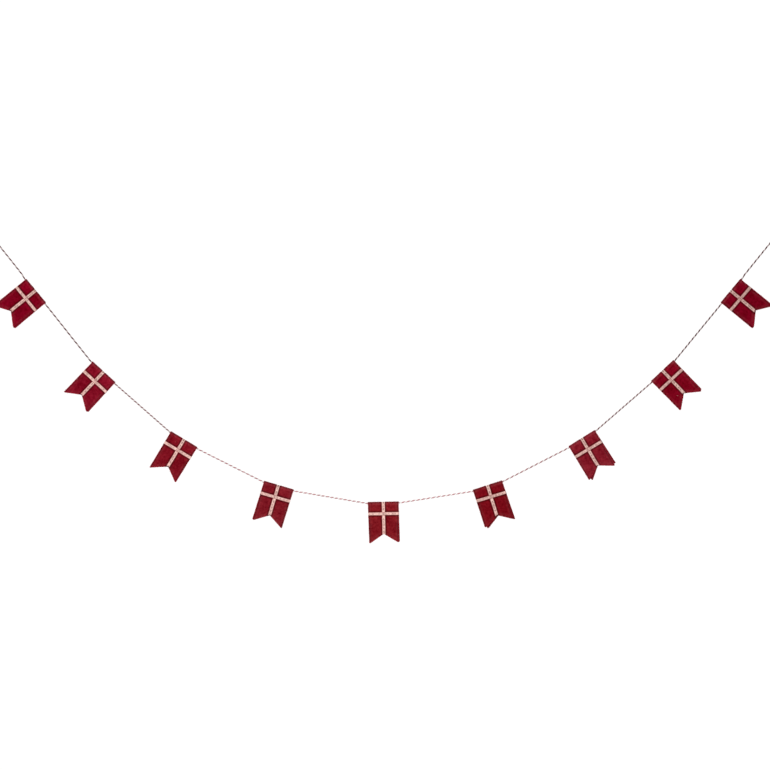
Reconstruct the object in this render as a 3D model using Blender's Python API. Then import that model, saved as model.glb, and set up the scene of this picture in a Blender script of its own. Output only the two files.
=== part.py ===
"""Felt bunting: swallow-tailed felt flags, each folded over a two-ply twine and banded with a cross of cotton tape.

The bunting hangs in one bow between a tied loop at each end. X runs along it, -Y faces the viewer and +Z is up. The
origin is the inside top of the left loop. Sizes are written in millimetres and turned into metres by MM where a point
is made. Each flag is modelled in its own frame, whose X axis is the twine and whose -Z axis runs down the flag.
"""

import math
from typing import NamedTuple

import bmesh
import bpy
from mathutils import Vector

MM = 0.001

# Cloth and twine
TWINE = 2.0  # diameter of the two-ply twine
FELT = 1.1  # thickness of the felt
TAPE = 1.0  # thickness of the cotton tape
TAPE_WIDTH = 6.0
GAP = 0.3  # space between two pieces that touch
TUNNEL = 0.35  # space round the twine in the fold
LAYER_GAP = 0.4  # space between the two felt layers below the fold
FLAG_WIDTH = 52.0  # along the fold
HALF = FLAG_WIDTH / 2
PANEL = 70.0  # nominal depth of a panel, from the twine to its tips
NECK = 10.0  # depth over which the layers close up below the twine

# Middle of the felt, measured from the twine's centre at the fold and from the mid-plane below it
FOLD_RADIUS = TWINE / 2 + TUNNEL + FELT / 2
CLOSED = LAYER_GAP / 2 + FELT / 2

# How finely the solids are cut
PANEL_ROWS = (1.0, 0.82, 0.62, 0.42, 0.26, 0.12, 0.0)  # shares of the way from the twine to the cut edge
FOLD_STEPS = 5
EDGE_ROUND = 0.8  # how far a blunt tip runs along the notch edge, for each millimetre down the side edge

# Crossbar
RAMP = 2.2  # length over which the crossbar climbs on to the upright tape
SHOULDER = 0.4  # how far the raised stretch reaches past the upright tape
MIDWAY = 15.0  # where the free arms of the crossbar take one more row of points

# Ends of the twine
HANG_LEFT = Vector((0.0, 0.0, 0.0))  # inside top of the left loop
HANG_RIGHT = Vector((1362.8, 0.0, 5.5))  # inside top of the right loop
LOOP_WIDTH = 9.0  # across the loop, between the middles of its two runs
LOOP_START = math.radians(37)  # place on the teardrop where the loop's two feet meet the knot
LOOP_STEPS = 22
FOOT_DIP = 0.4  # how far a slanting foot of the loop reaches below its middle
KNOT_LENGTH = 9.0
KNOT_WIDTH = 6.4
KNOT_DEPTH = 5.0
KNOT_TAPER = 0.85  # how far the barrel of the knot narrows to its ends; 1 would bring them to points
KNOT_SIDES = 12
KNOT_RINGS = 7
KNOT_RIDGE = 0.09  # height of the knot's turns, as a share of its radius
KNOT_TURNS = 3

# Curve of the twine
EASE = 0.2  # how far each bend spreads along the twine
TUBE_STEP = 26.0  # length of one section of the twine's tube
FIRST_MOUTH = 2  # place in the route of the first flag's left mouth


class Flag(NamedTuple):
    """One flag. Points are (across, down) from the middle of its twine, seen from the front."""

    left: tuple  # left tip of the front panel
    notch: tuple  # point of the notch
    right: tuple  # right tip
    slip_left: tuple  # where the back panel's left tip lies, from the front one
    slip_right: tuple  # the same for the right tip
    slip_notch: float  # how far the back panel's notch lies to the right of the front one's
    blunt: tuple  # how far the left and right tips are rounded off
    bar: tuple  # depth of the crossbar's middle at the left and right edges
    upright: tuple  # place across of the upright tape at the fold and at its foot
    swing: float  # degrees that the flag hangs away from the vertical, back positive
    bow: float  # how far its middle stands forward of its sides, at the tips
    twist: float  # how far its right side stands forward, at the tips
    curl: float  # how far the whole lower edge curls forward
    flare: tuple  # how far the two layers part at the left and right tips


# The twine's route in (x, z): from the left knot to a slight bend, straight through each flag, and to the right knot.
ROUTE = (
    (19.0, -24.9), (64.3, -82.0),
    (69.6, -91.1), (102.8, -131.1),
    (182.8, -231.8), (221.2, -266.9),
    (316.4, -350.6), (360.9, -377.6),
    (475.3, -435.1), (525.2, -449.8),
    (652.2, -471.3), (704.2, -470.3),
    (831.3, -450.4), (880.7, -434.3),
    (994.7, -375.9), (1038.8, -348.5),
    (1135.3, -264.7), (1173.2, -229.1),
    (1253.8, -130.9), (1287.2, -91.0),
    (1291.3, -84.0), (1343.5, -19.2),
)

FLAGS = (
    Flag((-27.1, 69.6), (-1.1, 52.4), (25.2, 68.9), (0.5, 0.0), (1.0, -0.6), 0.7, (1.2, 2.8),
         (19.3, 19.8), (-0.7, -1.2), 2.0, 0.8, -0.6, 0.5, (0.6, 1.0)),
    Flag((-27.5, 69.1), (-2.1, 51.6), (25.2, 69.2), (0.4, 0.0), (0.9, -0.8), 0.6, (1.0, 3.0),
         (19.8, 20.3), (-0.6, -1.5), -1.5, -0.6, 0.8, -0.4, (0.5, 1.2)),
    Flag((-25.8, 69.4), (0.7, 51.3), (25.3, 68.7), (0.5, -0.4), (0.4, -0.3), 0.4, (1.0, 1.6),
         (19.2, 18.8), (0.0, 0.4), 1.0, 0.7, 0.5, 0.8, (0.8, 0.5)),
    Flag((-26.6, 67.6), (0.0, 50.8), (25.2, 66.8), (-0.6, -0.6), (-0.4, 0.2), -0.5, (2.2, 1.0),
         (18.8, 18.6), (-0.8, -0.9), -2.0, 1.0, -0.9, 0.3, (0.9, 0.6)),
    Flag((-25.0, 68.2), (-0.4, 51.7), (25.6, 67.8), (0.5, 0.3), (1.4, -1.0), 0.9, (1.3, 1.8),
         (17.8, 17.7), (0.0, 0.3), 0.5, -0.8, 0.4, -0.6, (0.5, 0.9)),
    Flag((-26.2, 66.0), (0.6, 51.7), (24.9, 66.4), (3.6, 3.2), (2.3, 1.4), 2.3, (2.0, 1.0),
         (17.5, 18.6), (-0.1, -0.7), 2.5, 0.9, -1.0, 0.6, (1.6, 0.9)),
    Flag((-26.9, 66.0), (-2.4, 50.8), (23.7, 67.4), (4.3, 3.0), (3.5, -2.8), 2.2, (1.8, 1.4),
         (19.1, 20.2), (-0.4, -1.3), -1.0, 0.6, 1.2, -0.5, (1.8, 1.4)),
    Flag((-24.5, 68.4), (-0.5, 50.4), (24.8, 69.6), (1.2, 0.4), (2.4, -1.6), 1.5, (1.3, 2.0),
         (19.3, 19.2), (0.1, 0.5), 1.5, -0.7, 0.7, 0.7, (0.7, 1.2)),
    Flag((-25.6, 68.9), (1.2, 51.5), (26.6, 70.0), (1.6, 0.3), (0.8, -0.3), 1.2, (2.4, 1.2),
         (18.8, 19.6), (0.0, -0.1), -0.5, 0.8, -0.8, -0.3, (1.1, 0.6)),
)

FELT_RED = (0.186, 0.008, 0.015, 1.0)
FELT_ROUGHNESS = 0.95
TAPE_CREAM = (0.60, 0.39, 0.37, 1.0)
TAPE_ROUGHNESS = 0.9
TWINE_RED = (0.30, 0.09, 0.10, 1.0)
TWINE_ROUGHNESS = 0.85
CREASE = math.radians(40)  # edges that turn further than this stay sharp


def clear_scene():
    """Remove every object that the scene starts with."""
    for thing in list(bpy.data.objects):
        bpy.data.objects.remove(thing, do_unlink=True)


def mix(start, end, share):
    """Return the value that lies a share of the way from start to end."""
    return start + (end - start) * share


def finish(thing, colour, roughness):
    """Give an object its own matt textile material and shade its round faces smooth."""
    material = bpy.data.materials.new(thing.name + "_finish")
    material.use_nodes = True
    shader = material.node_tree.nodes["Principled BSDF"]
    shader.inputs["Base Color"].default_value = colour
    shader.inputs["Roughness"].default_value = roughness
    shader.inputs["Metallic"].default_value = 0.0
    thing.data.materials.append(material)
    if thing.type == "MESH":
        thing.data.shade_smooth()
        thing.data.set_sharp_from_angle(angle=CREASE)


def link(name, data, parent=None):
    """Link a new object of this name and data to the scene."""
    thing = bpy.data.objects.new(name, data)
    bpy.context.collection.objects.link(thing)
    thing.parent = parent
    return thing


def sheet_object(name, outer, inner, parent):
    """Make a closed sheet from two grids of points, one for each of its faces."""
    rows, columns = len(outer), len(outer[0])
    mesh = bmesh.new()
    grids = [[[mesh.verts.new(point) for point in row] for row in grid] for grid in (outer, inner)]
    for grid in grids:
        for row in range(rows - 1):
            for column in range(columns - 1):
                mesh.faces.new((grid[row][column], grid[row][column + 1],
                                grid[row + 1][column + 1], grid[row + 1][column]))
    rim = [(0, column) for column in range(columns)]
    rim += [(row, columns - 1) for row in range(1, rows)]
    rim += [(rows - 1, column) for column in range(columns - 2, -1, -1)]
    rim += [(row, 0) for row in range(rows - 2, 0, -1)]
    for (row, column), (next_row, next_column) in zip(rim, rim[1:] + rim[:1]):
        mesh.faces.new((grids[0][row][column], grids[0][next_row][next_column],
                        grids[1][next_row][next_column], grids[1][row][column]))
    bmesh.ops.recalc_face_normals(mesh, faces=mesh.faces)
    data = bpy.data.meshes.new(name)
    mesh.to_mesh(data)
    mesh.free()
    return link(name, data, parent)


def drift(flag, side, across, down):
    """Return how far forward a point of the flag leans: side is 1 on the front panel and -1 on the back one."""
    reach = down / PANEL
    place = across / HALF
    lean = reach ** 2 * (flag.bow * (1 - place ** 2) + flag.twist * place + flag.curl)
    part = flag.flare[0] if across < 0 else flag.flare[1]
    return lean + side * part / 2 * abs(place) * reach ** 3


def cloth_point(flag, turn, across, down, out):
    """Return a point that lies `out` beyond the middle of the felt.

    turn is the angle round the twine: 0 on the front panel, pi on the back one, and between them on the fold.
    """
    closing = min(down / NECK, 1.0)
    radius = mix(FOLD_RADIUS, CLOSED, closing ** 2 * (3 - 2 * closing)) + out
    side = math.cos(turn)
    forward = side * radius + drift(flag, side, across, down)
    return Vector((across, -forward, math.sin(turn) * radius - down)) * MM


def corners(flag, turn):
    """Return the left tip, the notch and the right tip of the panel at this turn."""
    if turn < math.pi / 2:
        return flag.left, flag.notch, flag.right
    left = (flag.left[0] + flag.slip_left[0], flag.left[1] + flag.slip_left[1])
    right = (flag.right[0] + flag.slip_right[0], flag.right[1] + flag.slip_right[1])
    return left, (flag.notch[0] + flag.slip_notch, flag.notch[1]), right


def cut_edge(flag, turn, share):
    """Return the (across, down) of the swallow-tail edge, from -1 at the left tip to 1 at the right one."""
    left, notch, right = corners(flag, turn)
    tip = left if share < 0 else right
    down = mix(notch[1], tip[1], abs(share))
    if abs(share) == 1:
        down -= flag.blunt[0] if share < 0 else flag.blunt[1]
    return mix(notch[0], tip[0], abs(share)), down


def notch_depth(flag, turn, across):
    """Return how far down the notch edge lies at this place across."""
    left, notch, right = corners(flag, turn)
    tip = left if across < notch[0] else right
    return mix(notch[1], tip[1], (across - notch[0]) / (tip[0] - notch[0]))


def stations():
    """List the rows of a folded piece as (turn, share): up the front panel, over the fold and down the back."""
    front = [(0.0, share) for share in PANEL_ROWS]
    fold = [(math.pi * step / FOLD_STEPS, 0.0) for step in range(1, FOLD_STEPS)]
    back = [(math.pi, share) for share in reversed(PANEL_ROWS)]
    return front + fold + back


def folded_felt(number, flag, frame):
    """Make the felt of one flag: a single strip, folded over the twine and cut to a swallow tail at both ends."""
    ends = [1 - blunt * EDGE_ROUND / HALF for blunt in flag.blunt]
    columns = (-1, -ends[0], -0.5, 0, 0.5, ends[1], 1)
    faces = []
    for out in (FELT / 2, -FELT / 2):
        grid = []
        for turn, share in stations():
            row = []
            for column in columns:
                across, down = cut_edge(flag, turn, column)
                row.append(cloth_point(flag, turn, mix(HALF * column, across, share), down * share, out))
            grid.append(row)
        faces.append(grid)
    felt = sheet_object(f"felt_{number}", faces[0], faces[1], frame)
    finish(felt, FELT_RED, FELT_ROUGHNESS)


def upright_place(flag, turn, down):
    """Return where the middle of the upright tape lies across the flag."""
    slip = 0.0 if turn < math.pi / 2 else flag.slip_notch
    return mix(flag.upright[0], flag.upright[1] + slip, down / flag.notch[1])


def upright_tape(number, flag, frame):
    """Make the tape that runs from the front notch, over the fold, to the back notch."""
    faces = []
    for out in (FELT / 2 + GAP + TAPE, FELT / 2 + GAP):
        grid = []
        for turn, share in stations():
            middle = upright_place(flag, turn, flag.notch[1] * share)
            row = []
            for column in (-0.5, 0, 0.5):
                across = middle + column * TAPE_WIDTH
                row.append(cloth_point(flag, turn, across, notch_depth(flag, turn, across) * share, out))
            grid.append(row)
        faces.append(grid)
    tape = sheet_object(f"upright_tape_{number}", faces[0], faces[1], frame)
    finish(tape, TAPE_CREAM, TAPE_ROUGHNESS)


def side_edge(flag, turn, side, down):
    """Return how far across the cut side edge lies at this depth: side is -1 on the left and 1 on the right."""
    across, tip_down = cut_edge(flag, turn, side)
    return mix(side * HALF, across, down / tip_down)


def crossbar_tape(name, number, flag, turn, frame):
    """Make the tape across one panel: it climbs over the upright tape and ends at the felt's side edges."""
    depth = (flag.bar[0] + flag.bar[1]) / 2
    middle = upright_place(flag, turn, depth)
    crest = TAPE_WIDTH / 2 + SHOULDER
    inner = (-MIDWAY, middle - crest - RAMP, middle - crest, middle + crest, middle + crest + RAMP, MIDWAY)
    over = FELT / 2 + GAP + TAPE + GAP
    lifts = [over if abs(across - middle) < crest + RAMP / 2 else FELT / 2 + GAP for across in inner]
    lifts = [FELT / 2 + GAP] + lifts + [FELT / 2 + GAP]
    faces = []
    for thickness in (TAPE, 0.0):
        grid = []
        for edge in (-TAPE_WIDTH / 2, TAPE_WIDTH / 2):
            left = side_edge(flag, turn, -1, flag.bar[0] + edge)
            right = side_edge(flag, turn, 1, flag.bar[1] + edge)
            row = []
            for across, lift in zip((left,) + inner + (right,), lifts):
                down = mix(flag.bar[0], flag.bar[1], (across + HALF) / FLAG_WIDTH) + edge
                row.append(cloth_point(flag, turn, across, down, lift + thickness))
            grid.append(row)
        faces.append(grid)
    tape = sheet_object(f"{name}_{number}", faces[0], faces[1], frame)
    finish(tape, TAPE_CREAM, TAPE_ROUGHNESS)


def flag_frame(number, flag, start, end):
    """Make the empty that holds one flag, in the middle of its stretch of twine and turned along it."""
    frame = link(f"flag_{number}_frame", None)
    along = end - start
    frame.location = (start + end) / 2 * MM
    frame.rotation_euler = (math.radians(flag.swing), math.atan2(-along.z, along.x), 0.0)
    return frame


def route_tangents(points):
    """Return the twine's direction at each point: at a flag's mouth, it is that of the free stretch outside it."""
    directions = [(end - start).normalized() for start, end in zip(points, points[1:])]
    tangents = [directions[0]]
    for place, (before, after) in enumerate(zip(directions, directions[1:]), start=1):
        mouth = place - FIRST_MOUTH
        if 0 <= mouth < 2 * len(FLAGS):
            tangents.append(after if mouth % 2 else before)
        else:
            tangents.append((before + after).normalized())
    tangents.append(directions[-1])
    return tangents


def route_curve(points):
    """Return points along a curve through the route that bends only inside the flags."""
    tangents = route_tangents(points)
    curve = [points[0]]
    for span, (start, end) in enumerate(zip(points, points[1:])):
        pull = EASE * (end - start).length
        steps = math.ceil((end - start).length / TUBE_STEP)
        for step in range(1, steps + 1):
            t = step / steps
            curve.append(start * (1 + 2 * t) * (1 - t) ** 2 + end * t ** 2 * (3 - 2 * t)
                         + tangents[span] * pull * t * (1 - t) ** 2
                         + tangents[span + 1] * pull * t ** 2 * (t - 1))
    return curve


def tube(name, points):
    """Make a round tube of the twine's diameter along these points, closed at both ends."""
    data = bpy.data.curves.new(name, "CURVE")
    data.dimensions = "3D"
    data.bevel_depth = TWINE / 2 * MM
    data.bevel_resolution = 2
    data.use_fill_caps = True
    spline = data.splines.new("POLY")
    spline.points.add(len(points) - 1)
    for spot, point in zip(spline.points, points):
        spot.co = (*(point * MM), 1.0)
    finish(link(name, data), TWINE_RED, TWINE_ROUGHNESS)


def teardrop(angle):
    """Return (across, up) on a teardrop that is 1 high and 1 wide, with its point at angle 0 and its top at pi."""
    widest = math.sin(2 * math.pi / 3) * math.sin(math.pi / 3)
    return math.sin(angle) * math.sin(angle / 2) / (2 * widest), (1 - math.cos(angle)) / 2


def end_loop(name, hang, foot):
    """Make one tied end: a teardrop loop of twine that hangs from `hang`, and the knot above the point `foot`."""
    along = (hang - foot).normalized()
    aside = Vector((along.z, 0.0, -along.x))
    knot_middle = foot + along * (GAP + KNOT_LENGTH / 2)
    knot_top = knot_middle + along * (KNOT_LENGTH / 2 + GAP + FOOT_DIP)
    length = (hang - knot_top).length + TWINE / 2
    low = teardrop(LOOP_START)[1]
    path = []
    for step in range(LOOP_STEPS + 1):
        width, rise = teardrop(mix(LOOP_START, 2 * math.pi - LOOP_START, step / LOOP_STEPS))
        path.append(knot_top + along * length * (rise - low) / (1 - low) + aside * width * LOOP_WIDTH)
    tube(f"{name}_loop", path)
    knot(f"{name}_knot", knot_middle, along, aside)


def knot(name, middle, along, aside):
    """Make a tied knot as one barrel with slanting ridges where the twine's turns lie."""
    outward = Vector((0.0, -1.0, 0.0))
    mesh = bmesh.new()
    rings = []
    for ring in range(KNOT_RINGS):
        height = mix(-1, 1, ring / (KNOT_RINGS - 1))
        spread = math.sqrt(1 - (KNOT_TAPER * height) ** 2)
        row = []
        for corner in range(KNOT_SIDES):
            angle = 2 * math.pi * corner / KNOT_SIDES
            ridge = 1 + KNOT_RIDGE * math.cos(KNOT_TURNS * angle + height * math.pi)
            across = aside * (KNOT_WIDTH / 2 * math.cos(angle)) + outward * (KNOT_DEPTH / 2 * math.sin(angle))
            row.append(mesh.verts.new((middle + along * height * KNOT_LENGTH / 2 + across * spread * ridge) * MM))
        rings.append(row)
    for lower, upper in zip(rings, rings[1:]):
        for corner in range(KNOT_SIDES):
            after = (corner + 1) % KNOT_SIDES
            mesh.faces.new((lower[corner], lower[after], upper[after], upper[corner]))
    mesh.faces.new(rings[0])
    mesh.faces.new(rings[-1])
    bmesh.ops.recalc_face_normals(mesh, faces=mesh.faces)
    data = bpy.data.meshes.new(name)
    mesh.to_mesh(data)
    mesh.free()
    finish(link(name, data), TWINE_RED, TWINE_ROUGHNESS)


def main():
    """Build the bunting: the twine, its two tied ends, and the flags along it."""
    clear_scene()
    route = [Vector((x, 0.0, z)) for x, z in ROUTE]
    tube("twine", route_curve(route))
    end_loop("left", HANG_LEFT, route[0])
    end_loop("right", HANG_RIGHT, route[-1])
    for index, flag in enumerate(FLAGS):
        number = index + 1
        mouth = FIRST_MOUTH + 2 * index
        frame = flag_frame(number, flag, route[mouth], route[mouth + 1])
        folded_felt(number, flag, frame)
        upright_tape(number, flag, frame)
        crossbar_tape("front_crossbar", number, flag, 0.0, frame)
        crossbar_tape("back_crossbar", number, flag, math.pi, frame)


main()
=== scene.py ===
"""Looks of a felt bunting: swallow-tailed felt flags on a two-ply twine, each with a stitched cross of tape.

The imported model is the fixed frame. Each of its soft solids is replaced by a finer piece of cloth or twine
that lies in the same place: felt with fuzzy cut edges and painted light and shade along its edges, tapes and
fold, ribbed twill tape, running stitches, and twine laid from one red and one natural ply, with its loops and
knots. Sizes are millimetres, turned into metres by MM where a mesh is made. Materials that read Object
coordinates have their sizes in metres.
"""

import logging
import math
from collections.abc import Callable
from dataclasses import dataclass, field
from enum import Enum
from functools import partial

import bmesh
import bpy
import numpy as np
from mathutils import Euler, Matrix, Vector, noise


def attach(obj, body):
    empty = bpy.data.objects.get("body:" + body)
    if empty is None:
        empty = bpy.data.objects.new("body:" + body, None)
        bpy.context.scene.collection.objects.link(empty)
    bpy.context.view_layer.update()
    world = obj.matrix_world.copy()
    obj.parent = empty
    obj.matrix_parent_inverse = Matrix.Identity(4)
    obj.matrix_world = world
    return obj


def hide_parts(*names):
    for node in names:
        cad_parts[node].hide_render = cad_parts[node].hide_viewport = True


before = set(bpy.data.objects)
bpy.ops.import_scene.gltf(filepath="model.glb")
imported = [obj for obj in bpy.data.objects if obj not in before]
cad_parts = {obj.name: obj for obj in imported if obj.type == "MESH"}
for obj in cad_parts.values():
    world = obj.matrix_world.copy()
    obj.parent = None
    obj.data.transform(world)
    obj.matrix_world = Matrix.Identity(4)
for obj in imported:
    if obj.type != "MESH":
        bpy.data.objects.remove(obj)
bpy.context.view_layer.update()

log = logging.getLogger("bunting")

MM = 0.001
BODY = "root"

# Cloth and twine
TWINE = 2.0  # diameter of the two-ply twine
FELT = 1.1  # thickness of the felt
TAPE = 0.7  # thickness of the cotton tape
TAPE_WIDTH = 6.0
SEAT = 0.05  # space between two pieces that lie on each other
FLAG_WIDTH = 52.0  # along the fold
HALF = FLAG_WIDTH / 2
PANEL = 70.0  # nominal depth of a panel, from the twine to its tips
NECK = 10.0  # depth over which the two layers close up below the twine
TWINE_ROOM = 0.35  # between the twine and the fold round it
LAYER_GAP = 0.4  # between the two layers of a flag, below the neck
FOLD_RADIUS = TWINE / 2 + TWINE_ROOM + FELT / 2  # middle of the felt at the fold, from the twine's centre
CLOSED = LAYER_GAP / 2 + FELT / 2  # middle of the felt below the neck, from the mid-plane of the flag

# Ends of the twine
HANG_LEFT = (0.0, 0.0, 0.0)  # inside top of the left loop
HANG_RIGHT = (1362.8, 0.0, 5.5)  # inside top of the right loop
KNOT_LENGTH = 9.0
END_GAP = 0.3  # between the twine's end in the frame and its knot
FOOT_DIP = 0.4  # how far a slanting foot of the loop reaches below its middle

# View
VIEW_MIDDLE = (681.19, -269.77)  # where the middle of the picture falls, in (x, z)
VIEW_WIDTH = 1309.0  # across the picture, at the twine
VIEW_DISTANCE = 8000.0

# The twine's route in metres, (x, z): from the left knot past a slight bend to the first flag, from mouth to
# mouth through each flag, and past another bend to the right knot.
ROUTE = (
    (0.0190, -0.0249), (0.0643, -0.0820),
    (0.0696, -0.0911), (0.1028, -0.1311),
    (0.1828, -0.2318), (0.2212, -0.2669),
    (0.3164, -0.3506), (0.3609, -0.3776),
    (0.4753, -0.4351), (0.5252, -0.4498),
    (0.6522, -0.4713), (0.7042, -0.4703),
    (0.8313, -0.4504), (0.8807, -0.4343),
    (0.9947, -0.3759), (1.0388, -0.3485),
    (1.1353, -0.2647), (1.1732, -0.2291),
    (1.2538, -0.1309), (1.2872, -0.0910),
    (1.2913, -0.0840), (1.3435, -0.0192),
)
FIRST_MOUTH = 2  # place in the route of the first flag's left mouth
BEND_EASE = 0.2  # how far each bend spreads along the twine

Faces = list[tuple[int, ...]]
Grids = tuple[np.ndarray, ...]
Colour = tuple[float, float, float]
Stops = tuple[tuple[float, float], ...]


class Panel(Enum):
    """The side of the fold that a piece lies on, as its angle round the twine."""

    FRONT = 0.0
    BACK = math.pi


class Ply(Enum):
    """The two plies of the twine, as their place in its list of materials."""

    RED = 0
    NATURAL = 1


@dataclass(frozen=True)
class Lay:
    """How the twine is twisted and dyed in one gap between flags."""

    first: float  # from the gap's start to the first place where the red ply faces the front
    pitch: float  # length of one full turn
    dye: float  # how deep its colours are, from 0, worn pale, to 1


LAYS = (
    Lay(2.1, 9.6, 0.85), Lay(7.6, 9.7, 0.9), Lay(4.5, 7.2, 0.6), Lay(7.9, 8.1, 0.12), Lay(5.9, 7.6, 0.0),
    Lay(7.8, 8.7, 0.0), Lay(0.2, 9.25, 0.3), Lay(7.3, 7.9, 0.76), Lay(3.6, 9.0, 1.0), Lay(9.4, 9.9, 1.0),
)


@dataclass(frozen=True)
class Flag:
    """One flag's own sizes. Points are (across, down) from the middle of its twine, seen from the front."""

    left: tuple[float, float]  # left tip of the front panel
    notch: tuple[float, float]  # point of the notch
    right: tuple[float, float]  # right tip
    slip_left: tuple[float, float]  # where the back panel's left tip lies, from the front one
    slip_right: tuple[float, float]  # the same for the right tip
    slip_notch: float  # how far the back panel's notch lies to the right of the front one's
    blunt: tuple[float, float]  # how far the left and right tips are rounded off
    bar: tuple[float, float]  # depth of the crossbar's middle at the left and right edges
    upright: tuple[float, float]  # place across of the upright tape at the fold and at its foot
    swing: float  # degrees that the flag hangs away from the vertical, back positive
    bow: float  # how far its middle stands forward of its sides, at the tips
    twist: float  # how far its right side stands forward, at the tips
    curl: float  # how far the whole lower edge curls forward
    flare: tuple[float, float]  # how far the two layers part at the left and right tips
    dye: Colour  # colour of its felt
    paleness: float  # how bright its tapes are beside the others'
    foot: float  # how far its upright tape stops short of the notch
    tack: float = 0.0  # length of the stitch where its tapes cross, 0 for none
    lint: tuple[tuple[float, float], ...] = ()  # places of light fluff on the front

    def cloth(self, turn: np.ndarray, across: np.ndarray, down: np.ndarray,
              out: np.ndarray | float) -> np.ndarray:
        """Find points on the folded cloth, in the flag's own frame.

        Args:
            turn: angle round the twine, 0 on the front panel, pi on the back one, between them on the fold.
            across: place along the fold.
            down: depth below the twine.
            out: how far beyond the middle of the felt the points lie.

        Returns:
            The points, with X across, -Y to the front and -Z down the flag.
        """
        closing = np.minimum(down / NECK, 1.0)
        radius = FOLD_RADIUS + (CLOSED - FOLD_RADIUS) * closing**2 * (3 - 2 * closing) + out
        side = np.cos(turn)
        reach = down / PANEL
        place = across / HALF
        part = np.where(across < 0, self.flare[0], self.flare[1])
        drift = reach**2 * (self.bow * (1 - place**2) + self.twist * place + self.curl)
        drift = drift + side * part / 2 * np.abs(place) * reach**3
        return np.stack([across, -side * radius - drift, np.sin(turn) * radius - down], axis=-1)

    def corners(self, turn: np.ndarray) -> tuple[np.ndarray, np.ndarray, np.ndarray]:
        """Find the left tip, the notch and the right tip of the panel at each turn.

        Args:
            turn: angle round the twine.

        Returns:
            Three arrays of (across, down), one row for each turn.
        """
        back = (turn > math.pi / 2).astype(float)[..., None]
        left = np.array(self.left) + back * np.array(self.slip_left)
        right = np.array(self.right) + back * np.array(self.slip_right)
        notch = np.array(self.notch) + back * np.array((self.slip_notch, 0.0))
        return left, notch, right

    def edge_depth(self, turn: np.ndarray, across: np.ndarray) -> np.ndarray:
        """Find how far down the swallow-tail edge lies.

        Args:
            turn: angle round the twine.
            across: place along the fold.

        Returns:
            The depth below the twine at each place.
        """
        left, notch, right = self.corners(turn)
        tip = np.where((across < notch[..., 0])[..., None], left, right)
        share = (across - notch[..., 0]) / (tip[..., 0] - notch[..., 0])
        return notch[..., 1] + (tip[..., 1] - notch[..., 1]) * share

    def side_edge(self, turn: np.ndarray, side: int, down: np.ndarray) -> np.ndarray:
        """Find how far across a cut side edge lies.

        Args:
            turn: angle round the twine.
            side: -1 for the left edge, 1 for the right one.
            down: depth below the twine.

        Returns:
            The place along the fold at each depth.
        """
        left, _, right = self.corners(turn)
        tip = left if side < 0 else right
        depth = tip[..., 1] - (self.blunt[0] if side < 0 else self.blunt[1])
        return side * HALF + (tip[..., 0] - side * HALF) * down / depth

    def upright_middle(self, turn: np.ndarray, down: np.ndarray) -> np.ndarray:
        """Return where the middle of the upright tape lies across the flag."""
        foot = self.upright[1] + np.where(turn > math.pi / 2, self.slip_notch, 0.0)
        return self.upright[0] + (foot - self.upright[0]) * down / self.notch[1]

    def bar_middle(self, across: np.ndarray) -> np.ndarray:
        """Return how far down the middle of the crossbar lies."""
        return self.bar[0] + (self.bar[1] - self.bar[0]) * (across + HALF) / FLAG_WIDTH


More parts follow.
